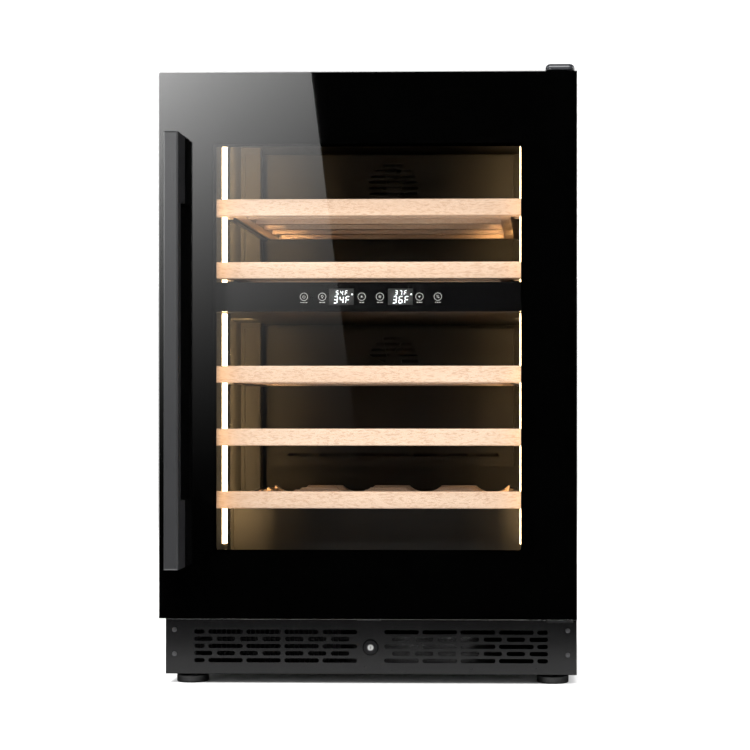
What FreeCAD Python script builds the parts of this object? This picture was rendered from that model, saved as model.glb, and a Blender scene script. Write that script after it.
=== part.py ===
"""Dual-zone under-counter wine cooler, built as separate pieces.

Millimetres, +Z up, front towards -Y. The origin is on the floor, under the middle of the
whole cooler with its handle. The door is hinged on the right, at +X.
"""

import FreeCAD
import Part
import math
import os

# ---- overall sizes -------------------------------------------------------------------
width = 595.0                 # cabinet and door, side to side
height = 877.0                # floor to cabinet top with the feet wound in
body_depth = 522.0            # cabinet, front flange to back panel
foot_height = 16.0            # floor to the underside of the base pan
sheet = 1.0                   # steel of the wrap, deck and back panel
past = 1.0                    # how far a cutter runs past the face it opens
near = 0.01                   # slack when an edge is picked by its place

# ---- door ----------------------------------------------------------------------------
outer_glass_t = 5.0
pane_gap = 11.0
inner_glass_t = 4.0
door_t = 42.0                 # glass face to the back of the door frame
gasket_t = 7.5
gasket_w = 20.0
gasket_inset = 15.5           # door edge to the gasket's outer edge
door_to_cabinet = 8.0         # back of the door frame to the cabinet flange
door_bottom = 99.0
door_top_gap = 1.0            # door top below the cabinet top
frame_w = 47.5                # door edge to the opening in the frame
frame_rebate = 8.0            # ledge that carries the inner pane
frame_inset = 1.0             # frame edge behind the glass edge
frame_edge_r = 2.0
glass_edge = 0.8
pane_play = 0.5
spacer_w = 11.0
seal_lip = 7.0
seal_groove = 2.0

# ---- handle --------------------------------------------------------------------------
handle_w = 20.0
handle_bar_t = 22.0
handle_reach = 55.0           # glass face to the front of the bar
handle_length = 611.0
handle_post_h = 95.0
handle_inset = 18.5           # door edge to the handle's near side
handle_drop = 92.0            # door top to the handle's top
handle_chamfer = 2.0

# ---- hinges --------------------------------------------------------------------------
hinge_inset = 12.5            # pin axis in from the door edge
hinge_back = 12.0             # pin axis behind the glass face
pin_r = 4.0
pin_clearance = 0.05
pin_length = 14.0
pin_end_gap = 2.0
hinge_plate_t = 3.0
hinge_plate_w = 37.0
hinge_lap = 6.5               # plate beyond the pin's axis
hinge_corner_r = 6.0
hinge_cap_h = 6.0             # cap above the hinge plate
hinge_plate_reach = 70.0      # plate behind the cabinet's front flange
hinge_leg_h = 16.0
hinge_foot_gap = 1.0          # kick panel's top to the bottom bracket
hinge_foot_t = 2.2
cap_wall = 2.0
cap_corner_r = 8.0
cap_edge_r = 6.0
cap_lift = 0.4                # cap clear of the swinging door

# ---- cabinet -------------------------------------------------------------------------
side_insulation = 47.5        # wrap to liner, at the sides
top_insulation = 48.0
rear_insulation = 53.0
liner_t = 2.0
flange_w = 39.5               # front flange of the wrap, in from the side
floor_level = 168.0           # inside floor of the lower zone
floor_lip = 30.0              # flange edge below the inside floor
step_height = 77.0            # raised floor over the machine bay
step_run = 160.0              # raised floor, front to back
deck_level = 124.0            # underside of the insulation over the base
bay_height = 192.0            # base pan to the deck over the compressor
bay_run = 177.0               # compressor bay, front to back
fold_r = 0.8                  # bend along the wrap's top edges
toe_gap = 4.0                 # kick panel's top to the wrap above it
pan_wall = 1.5
pan_h = 12.0
boss_r = 11.0
boss_h = 13.0
louvre_rows = 7
louvre_columns = 5
louvre_pitch = 18.0
louvre_h = 6.0
louvre_rib = 14.0             # between two louvres of a row
louvre_rise = 42.0            # underside of the cabinet to the lowest louvres
louvre_start = 60.0           # cabinet side to the first louvre
louvre_end = 169.0            # last louvre to the other side of the cabinet

# ---- kick panel and lock -------------------------------------------------------------
kick_setback = 5.0            # kick panel behind the cabinet flange
kick_t = 2.0
kick_bottom = 14.0
kick_top = 94.0
kick_return = 15.0
kick_edge_r = 1.2
kick_side_gap = 0.5
kick_end_rise = 16.0          # underside of the cabinet to the foot of a returned end
slot_h = 6.4
slot_rows = 5
slot_pitch = 10.3
slot_rise = 0.5               # middle row above the middle of the panel
long_count = 4
short_count = 7
slot_start = 19.6             # middle of the panel to the first long slot
slot_start_short = 31.0       # middle of the panel to the first short slot
slot_margin = 41.5            # last slot to the panel's end
slot_rib = 5.0
short_rib = 6.4
end_slot = 15.5
kick_screw_r = 3.4
kick_screw_inset = 13.0
kick_screw_levels = (43.0, 78.0)
screw_head_t = 1.6
screw_dome_r = 1.0
screw_shank_r = 1.8
screw_length = 9.0
cross_w = 3.6
cross_t = 0.8
cross_floor = 0.7             # panel's face to the bottom of the cross
lock_level = 53.0
lock_flange_r = 11.6
lock_flange_t = 1.8
lock_edge_r = 1.2
lock_barrel_r = 9.0
lock_barrel_run = 17.0
lock_core_r = 6.0
lock_clearance = 0.05
core_proud = 1.4              # core in front of the panel's face
nose_half = 3.9
nose_t = 1.2
key_way_w = 1.4
key_way_h = 5.2
key_way_depth = 4.0
lock_crank = 8.0              # crank pin off the lock's axis
crank_gap = 0.6
crank_t = 1.6
crank_rim = 3.0
peg_r = 2.0
bolt_gap = 3.0                # lock housing to the bolt
bolt_w = 18.0
bolt_t = 3.0
bolt_travel = 8.0
bolt_sink = 1.0               # bolt's top below the panel's top
paddle_half = 9.0
paddle_side = 6.0
window_side = 2.6
window_half = 4.4
guide_gap = 0.3
guide_wall = 3.0
guide_clear = 2.0
keeper_t = 2.0
keeper_gap = 1.3              # kick panel's top to the keeper
keeper_half = 16.0
keeper_rim = 4.0
keeper_leg_t = 10.0
keeper_lap = 6.0
eye_side = 1.0
eye_play = 1.5

# ---- inside --------------------------------------------------------------------------
divider_h = 42.1
bottom_row_h = 109.2          # inside floor to the top of the lowest shelf front
divider_headroom = 78.6       # top of the shelf below the divider to the divider
divider_to_shelf = 30.1       # divider to the top of the shelf front above it
top_space = 123.8             # top shelf to the ceiling
shelf_setback = 17.0          # shelf front behind the cabinet flange
shelf_front_h = 24.5
shelf_front_t = 20.0
shelf_front_margin = 19.0     # liner wall to the end of a shelf front
shelf_rail_w = 15.0
shelf_rail_drop = 11.0
cradle_drop = 6.0
cradle_t = 14.0
cradle_count = 5
cradle_start = 18.0           # shelf front to the first cradle
shelf_edge_r = 2.0
bottle_r = 38.5
bottle_count = 4
bottle_seat = 17.0            # lowest line of a bottle below the shelf front's top
bottle_edge = 21.0            # outer bottle's middle to the side rail
slide_wall = 1.8
slide_gap = 1.7
tongue_w = 8.5
tongue_h = 12.0
web_start = 5.0
web_h = 13.0
slide_play = 0.5
channel_lip = 3.5
channel_wall = 1.5
channel_start = 4.0
upright_w = 32.0
upright_t = 30.0
groove_wall = 6.0
groove_depth = 6.0
groove_end = 10.0
led_w = 6.5
led_t = 9.5
led_edge_r = 2.0
led_setback = 40.0            # light strip behind the cabinet flange
led_start = 32.0              # inside floor to the foot of the lower light strips
led_end_gap = 1.5
led_top_gap = 4.0

# ---- cooling in the zones ------------------------------------------------------------
cover_inset = 47.0            # liner wall to the side of an evaporator cover
cover_gap = 43.0              # liner's back wall to the front of an evaporator cover
cover_margin = 8.0
cover_t = 2.0
rack_gap = 15.0               # back of a shelf to the cover behind it
fan_drop = 54.0               # top of a cover to its fan's axis
vent_rows = 9
vent_pitch = 9.5
vent_h = 5.0
intake_count = 7
intake_rib = 12.0
intake_margin = 24.0
intake_rise = 20.0
intake_h = 6.0
core_inset = 30.0
core_t = 21.0
core_gap = 3.0
core_rise = 36.0
core_drop = 8.0
core_plate_t = 6.0
core_slits = 24
slit_share = 0.6              # share of the pitch that is open
zone_motor_t = 20.0
rotor_stand = 36.0            # liner's back wall to the front of a zone's fan

# ---- controls ------------------------------------------------------------------------
fascia_setback = 8.0
fascia_t = 2.5
fascia_run = 17.0
display_w = 36.0
display_h = 23.6
display_x = 42.8
key_r = 6.0
key_x = (13.2, 70.4, 97.0)
key_sink = 0.8
fascia_gap = 0.2
fascia_wall = 2.0
display_sink = 0.3
display_depth = 8.0
board_t = 1.6
board_margin = 5.0

# ---- fans and machine bay ------------------------------------------------------------
fan_r = 42.0
fan_hub_r = 13.0
fan_hub_t = 14.0
fan_blades = 7
blade_root = 3.0
blade_y = 6.0
blade_t = 2.0
blade_w = 20.0
blade_twist = 24.0
motor_r = 17.0
shaft_r = 2.0
shaft_clearance = 0.05
machine_inset = 148.75        # cabinet side to the middle of the compressor and its fan
compressor_r = 70.0
compressor_h = 148.0
pot_rise = 18.0
pot_top_r = 24.0
pot_low_r = 10.0
plate_w = 190.0
plate_d = 100.0
plate_t = 8.0
plate_rise = 14.0
relay_sink = 12.0
relay_reach = 24.0
relay_w = 52.0
relay_rise = 50.0
relay_h = 56.0
pipe_r = 3.0
pipe_run = 26.0
pipe_reach = 18.0
pipe_half_gap = 24.0
pipe_rise = 80.0
mount_x = 84.0
mount_y = 38.0
mount_r = 10.0
mount_neck_r = 6.0
mount_neck_h = 12.0
tray_w = 156.0
tray_d = 120.0
tray_h = 16.0
tray_wall = 2.0
coil_inset = 45.0             # cabinet side to the coil's bends
coil_to_middle = 42.0
coil_setback = 60.0           # kick panel to the coil
coil_t = 40.0
coil_rise = 8.0
coil_h = 88.0
coil_end = 12.0
coil_rows = 4
coil_row_pitch = 22.0
coil_row_start = 11.0
coil_columns = (10.0, 30.0)
coil_tube_r = 3.5
coil_fin_t = 0.8
coil_fin_pitch = 7.2
coil_foot_w = 10.0
fan_plate_gap = 60.0
fan_plate_w = 120.0
fan_plate_t = 3.0
bay_fan_rise = 52.0
fan_tip_gap = 3.0
strut_w = 8.0
strut_lap = 5.0
strut_t = 2.0
bay_motor_t = 22.0
bay_rotor_gap = 17.0
inlet_inset = 44.0
inlet_w = 48.0
inlet_h = 28.0
inlet_rise = 60.0
inlet_wall = 4.0
inlet_depth = 18.0
inlet_box_side = 6.0
inlet_box_drop = 10.0
inlet_box_h = 70.0
inlet_box_t = 46.0
inlet_pin_w = 2.0
inlet_pin_h = 6.0
inlet_pin_pitch = 9.0
inlet_pin_rise = 8.0
inlet_pin_sink = 6.0
inlet_pin_root = 0.5
stand_side = 10.0
stand_t = 27.5
stand_gap = 2.5

# ---- feet ----------------------------------------------------------------------------
foot_r = 23.0
foot_pad_h = 11.0
foot_edge_r = 2.0
collar_rim = 4.0
collar_h = 3.0
collar_sink = 0.5
foot_stem_r = 6.0
foot_stem_clearance = 0.06
foot_stem_top = 52.0
foot_inset = 34.5
foot_front = 30.0             # kick panel's face to the front feet
foot_rear = 32.0              # back panel to the rear feet

# ---- levels and planes worked out from the sizes --------------------------------------
half = width / 2
cabinet_behind_face = door_t + door_to_cabinet
whole_depth = handle_reach + cabinet_behind_face + body_depth
face_y = -whole_depth / 2 + handle_reach
flange_y = face_y + cabinet_behind_face
back_y = flange_y + body_depth
frame_back_y = face_y + door_t
kick_y = flange_y + kick_setback
bolt_y = kick_y + lock_barrel_run + bolt_gap
paddle_top = lock_level + paddle_half
guide_low = paddle_top + bolt_travel + guide_clear
door_top = height - door_top_gap
liner_half = half - sheet - side_insulation
ceiling = height - sheet - top_insulation
ceiling_inside = ceiling - liner_t
cavity_half = liner_half - liner_t
cavity_back = back_y - sheet - rear_insulation
step_y = cavity_back - step_run
step_level = floor_level + step_height
fixed_heights = bottom_row_h + divider_headroom + divider_h + divider_to_shelf + top_space
shelf_pitch = (ceiling_inside - floor_level - fixed_heights) / 3
shelf_low = floor_level + bottom_row_h
divider_low = shelf_low + 2 * shelf_pitch + divider_headroom
divider_high = divider_low + divider_h
shelf_high = divider_high + divider_to_shelf
shelf_tops = (shelf_low, shelf_low + shelf_pitch, shelf_low + 2 * shelf_pitch,
              shelf_high, shelf_high + shelf_pitch)
upright_half = cavity_half - upright_w
channel_half = upright_half - slide_wall
tongue_half = channel_half - slide_gap
rack_slide_half = tongue_half - tongue_w
rail_half = rack_slide_half - slide_wall
shelf_y = flange_y + shelf_setback
cover_y = cavity_back - cover_gap
rack_back = cover_y - rack_gap
cover_half = cavity_half - cover_inset
hinge_x = half - hinge_inset
hinge_y = face_y + hinge_back
fascia_y = flange_y + fascia_setback
divider_y = fascia_y + fascia_run
led_y = flange_y + led_setback
upright_y = led_y + led_t
channel_y = upright_y + channel_start
bay_y = back_y - sheet - bay_run
bay_top = foot_height + bay_height
foot_x = half - foot_inset
foot_ys = (kick_y + foot_front, back_y - foot_rear)
pan_floor = foot_height + pan_wall
machine_x = -half + machine_inset

pieces = {}


def block(x0, x1, y0, y1, z0, z1):
    """A box between two corners."""
    corner = FreeCAD.Vector(x0, y0, z0)
    return Part.makeBox(x1 - x0, y1 - y0, z1 - z0, corner)


def bar(half_width, y0, y1, z0, z1):
    """A box centred on the middle plane of the cooler."""
    return block(-half_width, half_width, y0, y1, z0, z1)


def rod(radius, length, x, y, z, along="z"):
    """A cylinder that starts at a point and runs along +X, +Y or +Z."""
    ways = {"x": FreeCAD.Vector(1, 0, 0), "y": FreeCAD.Vector(0, 1, 0), "z": FreeCAD.Vector(0, 0, 1)}
    return Part.makeCylinder(radius, length, FreeCAD.Vector(x, y, z), ways[along])


def both_sides(shape):
    """The shape and its mirror image across the middle plane."""
    return [shape, shape.mirror(FreeCAD.Vector(0, 0, 0), FreeCAD.Vector(1, 0, 0))]


def fused(shapes):
    """One solid from shapes that touch or overlap."""
    whole = shapes[0]
    if len(shapes) > 1:
        whole = whole.multiFuse(shapes[1:])
    return whole.removeSplitter()


def cut(shape, tools):
    """The shape with all the tools taken out of it."""
    return shape.cut(Part.makeCompound(tools))


def rounded(shape, radius, test):
    """The shape with a fillet on each edge whose middle passes the test."""
    edges = [edge for edge in shape.Edges if test(edge.CenterOfMass, edge)]
    return shape.makeFillet(radius, edges)


def chamfered(shape, size, test):
    """The shape with a chamfer on each edge whose middle passes the test."""
    edges = [edge for edge in shape.Edges if test(edge.CenterOfMass, edge)]
    return shape.makeChamfer(size, edges)


def runs_along(edge, axis):
    """True for a straight edge along X, Y or Z, given as 0, 1 or 2."""
    box = edge.BoundBox
    spans = (box.XLength, box.YLength, box.ZLength)
    return all(span < 1e-6 for place, span in enumerate(spans) if place != axis)


def slot(x0, x1, z, tall, y0, y1):
    """A round-ended slot cutter that runs through from y0 to y1."""
    radius = tall / 2
    deep = y1 - y0
    middle = block(x0 + radius, x1 - radius, y0, y1, z - radius, z + radius)
    ends = [rod(radius, deep, x, y0, z, "y") for x in (x0 + radius, x1 - radius)]
    return fused([middle] + ends)


def piece(name, *solids):
    """Keeps one piece of the cooler, or a group of like ones, under its name."""
    pieces[name] = list(solids)


# ---- cabinet -------------------------------------------------------------------------
def outer_wrap():
    """Painted steel sides, top and front flange, folded from one sheet."""
    inside = half - sheet
    shell = bar(half, flange_y, back_y - sheet, foot_height, height)
    room = bar(inside, flange_y + sheet, back_y, foot_height - past, height - sheet)
    mouth = bar(half - flange_w, flange_y - past, flange_y + 2 * sheet,
                floor_level - floor_lip, height - flange_w)
    toe = bar(half + past, flange_y - past, kick_y + kick_t, foot_height - past, kick_top + toe_gap)
    wrap = cut(shell, [room, mouth, toe])
    piece("outer_wrap", rounded(wrap, fold_r, lambda c, e: c.z > height - near and runs_along(e, 1)))


def back_panel():
    """Rear sheet with the machine bay's louvre slots and the inlet's hole."""
    sheet_back = bar(half, back_y - sheet, back_y, foot_height, height)
    run = width - louvre_start - louvre_end
    louvre_w = (run - (louvre_columns - 1) * louvre_rib) / louvre_columns
    slots = []
    for row in range(louvre_rows):
        level = foot_height + louvre_rise + row * louvre_pitch
        for column in range(louvre_columns):
            start = -half + louvre_start + column * (louvre_w + louvre_rib)
            slots.append(slot(start, start + louvre_w, level, louvre_h, back_y - 2 * sheet, back_y + sheet))
    low = foot_height + inlet_rise
    right = half - inlet_inset
    inlet = block(right - inlet_w, right, back_y - 2 * sheet, back_y + sheet, low, low + inlet_h)
    piece("back_panel", cut(sheet_back, slots + [inlet]))


def base_pan():
    """Steel tray under the machine bay, with a threaded boss over each foot."""
    side = half - sheet
    front = kick_y + kick_t
    rear = back_y - sheet
    tray = bar(side, front, rear, foot_height, foot_height + pan_h)
    hollow = bar(side - pan_wall, front + pan_wall, rear - pan_wall, pan_floor, foot_height + pan_h + past)
    pan = cut(tray, [hollow])
    places = [(x, y) for x in (-foot_x, foot_x) for y in foot_ys]
    bosses = [rod(boss_r, boss_h, x, y, foot_height) for x, y in places]
    hole_r = foot_stem_r + foot_stem_clearance
    holes = [rod(hole_r, boss_h + 2 * past, x, y, foot_height - past) for x, y in places]
    piece("base_pan", cut(fused([pan] + bosses), holes))


def machine_deck():
    """Stepped steel deck between the insulation and the machine bay."""
    side = half - sheet
    front = bar(side, kick_y + kick_t, bay_y, deck_level, deck_level + sheet)
    riser = bar(side, bay_y - sheet, bay_y, deck_level, bay_top + sheet)
    roof = bar(side, bay_y - sheet, back_y - sheet, bay_top, bay_top + sheet)
    piece("machine_deck", fused([front, riser, roof]))


def liner_block(grow):
    """The stepped cavity as a solid, grown outwards by the liner's wall."""
    side = cavity_half + grow
    low = bar(side, flange_y - past, step_y + grow, floor_level - grow, divider_low)
    high = bar(side, flange_y - past, cavity_back + grow, step_level - grow, ceiling_inside + grow)
    return fused([low, high])


def inner_liner():
    """Moulded plastic liner with a flange behind the door seal."""
    tub = liner_block(liner_t)
    tub = cut(tub, [bar(half, flange_y - 2 * past, flange_y, 0, height)])
    low = floor_level - floor_lip
    lip = bar(half - flange_w, flange_y, flange_y + liner_t, low, height - flange_w)
    tub = cut(fused([tub, lip]), [liner_block(0.0)])
    piece("inner_liner", tub)


def foam_insulation():
    """Foam between the wrap, the liner, the deck and the back panel."""
    side = half - sheet
    front = flange_y + liner_t
    fill = bar(side, front, back_y - sheet, deck_level + sheet, height - sheet)
    bay = bar(side + past, bay_y - sheet, back_y, deck_level, bay_top + sheet)
    piece("foam_insulation", cut(fill, [liner_block(liner_t), bay]))


def zone_divider():
    """Insulated shelf between the two zones."""
    body = bar(cavity_half, divider_y, cavity_back, divider_low, divider_high)
    piece("zone_divider", body)


# ---- controls ------------------------------------------------------------------------
def control_fascia():
    """Black fascia on the divider's front, with two display windows."""
    side = cavity_half - fascia_gap
    shell = bar(side, fascia_y, divider_y, divider_low, divider_high)
    room = bar(side - fascia_wall, fascia_y + fascia_t, divider_y + past,
               divider_low + fascia_wall, divider_high - fascia_wall)
    middle = (divider_low + divider_high) / 2
    tools = [room]
    for x in (-display_x, display_x):
        tools.append(block(x - display_w / 2, x + display_w / 2, fascia_y - past, fascia_y + 2 * fascia_t,
                           middle - display_h / 2, middle + display_h / 2))
    for x in key_places():
        tools.append(rod(key_r, key_sink + past, x, fascia_y - past, middle, "y"))
    piece("control_fascia", cut(shell, tools))


def key_places():
    """The X of each touch key, left to right."""
    return sorted([-x for x in key_x] + list(key_x))


def control_electronics():
    """Touch keys set in the fascia, two display modules and their board."""
    middle = (divider_low + divider_high) / 2
    piece("touch_keys", *[rod(key_r, key_sink, x, fascia_y, middle, "y") for x in key_places()])
    board_y = fascia_y + display_depth
    modules = []
    for x in (-display_x, display_x):
        modules.append(block(x - display_w / 2, x + display_w / 2, fascia_y + display_sink, board_y,
                             middle - display_h / 2, middle + display_h / 2))
    piece("display_modules", *modules)
    board = bar(display_x + display_w, board_y, board_y + board_t,
                divider_low + board_margin, divider_high - board_margin)
    piece("control_board", board)


def light_strips():
    """Four light strips, one down each side of each zone."""
    spans = ((floor_level + led_start, divider_low - led_end_gap),
             (divider_high + led_end_gap, ceiling_inside - led_top_gap))
    strips = []
    for low, high in spans:
        strip = block(upright_half, upright_half + led_w, led_y, led_y + led_t, low, high)
        strip = rounded(strip, led_edge_r, lambda c, e: c.y < led_y + near and runs_along(e, 2))
        strips += both_sides(strip)
    piece("led_diffusers", *strips)


def slide_uprights():
    """Upright channels down the liner's sides that carry the slides."""
    rear_y = rack_back - upright_t
    spans = ((upright_y, floor_level, divider_low), (upright_y, divider_high, ceiling_inside),
             (rear_y, step_level, divider_low), (rear_y, divider_high, ceiling_inside))
    posts = []
    for y, low, high in spans:
        post = block(upright_half, cavity_half, y, y + upright_t, low, high)
        groove = block(upright_half + groove_wall, cavity_half - groove_wall, y - past, y + groove_depth,
                       low + groove_end, high - groove_end)
        posts += both_sides(cut(post, [groove]))
    piece("slide_uprights", *posts)


def slide_level(top):
    """Middle of the slides of the shelf whose front ends at this height."""
    return top - shelf_rail_drop - (shelf_front_h - shelf_rail_drop) / 2


def slide_channels():
    """Fixed C channels, two to a shelf, screwed to the uprights."""
    channels = []
    inside = tongue_h / 2 + slide_play
    outside = inside + channel_wall
    lip_half = rack_slide_half + channel_lip
    for top in shelf_tops:
        level = slide_level(top)
        body = block(lip_half, upright_half, channel_y, rack_back, level - outside, level + outside)
        run = block(lip_half - past, channel_half, channel_y - past, rack_back + past,
                    level - inside, level + inside)
        channels += both_sides(cut(body, [run]))
    piece("slide_channels", *channels)


# ---- shelves -------------------------------------------------------------------------
def shelf(number, top):
    """One shelf: beech front, beech rack with bottle cradles, and its moving slides."""
    low = top - shelf_front_h
    front_half = cavity_half - shelf_front_margin
    front = bar(front_half, shelf_y, shelf_y + shelf_front_t, low, top)
    front = rounded(front, shelf_edge_r, lambda c, e: c.y < shelf_y + near and runs_along(e, 0))
    piece(f"shelf_front_{number}", front)

    rack_y = shelf_y + shelf_front_t
    inner = rail_half - shelf_rail_w
    rail = block(inner, rail_half, rack_y, rack_back, low, top - shelf_rail_drop)
    reach = inner - bottle_edge
    step = 2 * reach / (bottle_count - 1)
    first = rack_y + cradle_start
    spacing = (rack_back - cradle_t - first) / (cradle_count - 1)
    seat_z = top - bottle_seat + bottle_r
    cradles = []
    for place in range(cradle_count):
        y = first + place * spacing
        seats = [rod(bottle_r, cradle_t + 2 * past, -reach + n * step, y - past, seat_z, "y")
                 for n in range(bottle_count)]
        beam = bar(inner + shelf_rail_w / 2, y, y + cradle_t, low, top - cradle_drop)
        cradles.append(cut(beam, seats))
    piece(f"shelf_rack_{number}", fused(both_sides(rail) + cradles))

    level = slide_level(top)
    web = block(rail_half, rack_slide_half, rack_y + web_start, rack_back,
                level - web_h / 2, level + web_h / 2)
    tongue = block(rack_slide_half, tongue_half, channel_y, rack_back,
                   level - tongue_h / 2, level + tongue_h / 2)
    piece(f"shelf_slides_{number}", *both_sides(fused([web, tongue])))


# ---- cooling in the zones --------------------------------------------------------------
def cover_spans():
    """Low and high level of the evaporator cover in the lower and the upper zone."""
    lower_room = divider_low - step_level
    upper_room = ceiling_inside - divider_high
    tall = min(lower_room, upper_room) - 2 * cover_margin
    return ((divider_low - cover_margin - tall, divider_low - cover_margin),
            (divider_high + cover_margin, divider_high + cover_margin + tall))


def cover_vents(fan_z, low):
    """Cutters for the round of slots at a fan and the row of intakes below it."""
    front = cover_y - past
    back = cover_y + 2 * cover_t
    vents = []
    for row in range(vent_rows):
        offset = (row - (vent_rows - 1) / 2) * vent_pitch
        reach = math.sqrt(fan_r ** 2 - offset ** 2)
        vents.append(slot(-reach, reach, fan_z + offset, vent_h, front, back))
    run = 2 * (cover_half - intake_margin)
    intake_w = (run - (intake_count - 1) * intake_rib) / intake_count
    for place in range(intake_count):
        start = -run / 2 + place * (intake_w + intake_rib)
        vents.append(slot(start, start + intake_w, low + intake_rise, intake_h, front, back))
    return vents


def evaporator_core(low, high):
    """A plate evaporator with upright slits down its front."""
    core_half = cover_half - core_inset
    back = cavity_back - core_gap
    front = back - core_t
    pitch = 2 * core_half / core_slits
    core = bar(core_half, front, back, low, high)
    slits = []
    for n in range(core_slits):
        x = -core_half + (n + 0.5) * pitch
        reach = pitch * slit_share / 2
        slits.append(block(x - reach, x + reach, front - past, back - core_plate_t, low - past, high + past))
    return cut(core, slits)


def evaporators():
    """Covers, evaporators, fan motors and fans, one set in each zone."""
    covers = []
    cores = []
    motors = []
    for zone, (low, high) in zip(("lower", "upper"), cover_spans()):
        fan_z = high - fan_drop
        cover = bar(cover_half, cover_y, cavity_back, low, high)
        room = bar(cover_half - cover_t, cover_y + cover_t, cavity_back + past, low + cover_t, high - cover_t)
        covers.append(cut(cover, [room] + cover_vents(fan_z, low)))
        cores.append(evaporator_core(low + core_rise, fan_z - fan_r - core_drop))
        body = rod(motor_r, zone_motor_t, 0, cavity_back - zone_motor_t, fan_z, "y")
        shaft_run = rotor_stand - zone_motor_t + 2 * past
        shaft = rod(shaft_r, shaft_run, 0, cavity_back - rotor_stand - past, fan_z, "y")
        motors.append(fused([body, shaft]))
        piece(f"fan_rotor_{zone}", fan_rotor(0, cavity_back - rotor_stand, fan_z))
    piece("evaporator_covers", *covers)
    piece("evaporators", *cores)
    piece("evaporator_fan_motors", *motors)


def fan_rotor(x, y, z):
    """A moulded fan, its shaft hole along Y, with its front at y."""
    hub = rod(fan_hub_r, fan_hub_t, x, y, z, "y")
    sweep = rod(fan_r, 2 * fan_hub_t, 0, -fan_hub_t / 2, 0, "y")
    blades = []
    for n in range(fan_blades):
        blade = block(fan_hub_r - blade_root, fan_r, blade_y - blade_t / 2, blade_y + blade_t / 2,
                      -blade_w / 2, blade_w / 2)
        blade = blade.common(sweep)
        blade.rotate(FreeCAD.Vector(0, blade_y, 0), FreeCAD.Vector(1, 0, 0), blade_twist)
        blade.rotate(FreeCAD.Vector(0, 0, 0), FreeCAD.Vector(0, 1, 0), n * 360.0 / fan_blades)
        blade.translate(FreeCAD.Vector(x, y, z))
        blades.append(blade)
    bore = rod(shaft_r + shaft_clearance, fan_hub_t + 2 * past, x, y - past, z, "y")
    return cut(fused([hub] + blades), [bore])


# ---- machine bay -----------------------------------------------------------------------
def compressor():
    """Hermetic compressor on four rubber mounts."""
    x = machine_x
    y = bay_y + bay_run / 2
    pot_low = pan_floor + pot_rise
    pot_high = pot_low + compressor_h
    pot = rod(compressor_r, compressor_h, x, y, pot_low)
    pot = rounded(pot, pot_top_r, lambda c, e: c.z > pot_high - near)
    pot = rounded(pot, pot_low_r, lambda c, e: c.z < pot_low + near)
    plate_low = pan_floor + plate_rise
    plate = block(x - plate_w / 2, x + plate_w / 2, y - plate_d / 2, y + plate_d / 2,
                  plate_low, plate_low + plate_t)
    side = x + compressor_r
    relay_low = pan_floor + relay_rise
    box = block(side - relay_sink, side + relay_reach, y - relay_w / 2, y + relay_w / 2,
                relay_low, relay_low + relay_h)
    pipe_x = x - compressor_r - pipe_reach
    pipes = [rod(pipe_r, pipe_run, pipe_x, y + shift, pan_floor + pipe_rise, "x")
             for shift in (-pipe_half_gap, pipe_half_gap)]
    holes = []
    mounts = []
    for dx in (-mount_x, mount_x):
        for dy in (-mount_y, mount_y):
            holes.append(rod(mount_neck_r, plate_t + 2 * past, x + dx, y + dy, plate_low - past))
            foot = rod(mount_r, plate_rise, x + dx, y + dy, pan_floor)
            neck = rod(mount_neck_r, mount_neck_h, x + dx, y + dy, plate_low - past)
            mounts.append(fused([foot, neck]))
    piece("compressor", cut(fused([pot, plate, box] + pipes), holes))
    piece("compressor_mounts", *mounts)


def drip_tray():
    """Water tray that dries off on top of the compressor."""
    y = bay_y + bay_run / 2
    low = pan_floor + pot_rise + compressor_h
    side = tray_w / 2
    deep = tray_d / 2
    tray = block(machine_x - side, machine_x + side, y - deep, y + deep, low, low + tray_h)
    side = side - tray_wall
    deep = deep - tray_wall
    room = block(machine_x - side, machine_x + side, y - deep, y + deep, low + tray_wall, low + tray_h + past)
    piece("drip_tray", cut(tray, [room]))


def coil_bend(x, y, z, radius, axis, room):
    """Half of a tube ring that joins two runs of the condenser."""
    ring_whole = Part.makeTorus(radius, coil_tube_r, FreeCAD.Vector(x, y, z), axis)
    return ring_whole.common(room)


def condenser():
    """Finned condenser coil behind the left half of the kick grille."""
    x0 = -half + coil_inset
    x1 = -coil_to_middle
    y = kick_y + coil_setback
    low = foot_height + coil_rise
    fins = []
    run = x1 - x0 - 2 * coil_end
    gaps = round(run / coil_fin_pitch)
    for n in range(gaps + 1):
        x = x0 + coil_end + n * run / gaps
        fins.append(block(x - coil_fin_t / 2, x + coil_fin_t / 2, y, y + coil_t, low, low + coil_h))
    front, back = coil_columns
    levels = [low + coil_row_start + row * coil_row_pitch for row in range(coil_rows)]
    tubes = [rod(coil_tube_r, x1 - x0, x0, y + column, level, "x")
             for column in coil_columns for level in levels]
    bends = []
    reach = coil_row_pitch
    right = block(x1, x1 + reach, y, y + coil_t, low, low + coil_h)
    for level in levels:
        bends.append(coil_bend(x1, y + coil_t / 2, level, (back - front) / 2, FreeCAD.Vector(0, 0, 1), right))
    left = block(x0 - reach, x0, y - reach, y + coil_t + reach, low - reach, low + coil_h + reach)
    for row, level in enumerate(levels[:-1]):
        column = coil_columns[row % 2]
        bends.append(coil_bend(x0, y + column, level + coil_row_pitch / 2, coil_row_pitch / 2,
                               FreeCAD.Vector(0, 1, 0), left))
    feet = []
    for x in (x0 + coil_end, x1 - coil_end):
        feet.append(block(x - coil_foot_w / 2, x + coil_foot_w / 2, y, y + coil_t, pan_floor, low + past))
    piece("condenser_coil", fused(tubes + fins + bends + feet))


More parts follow.
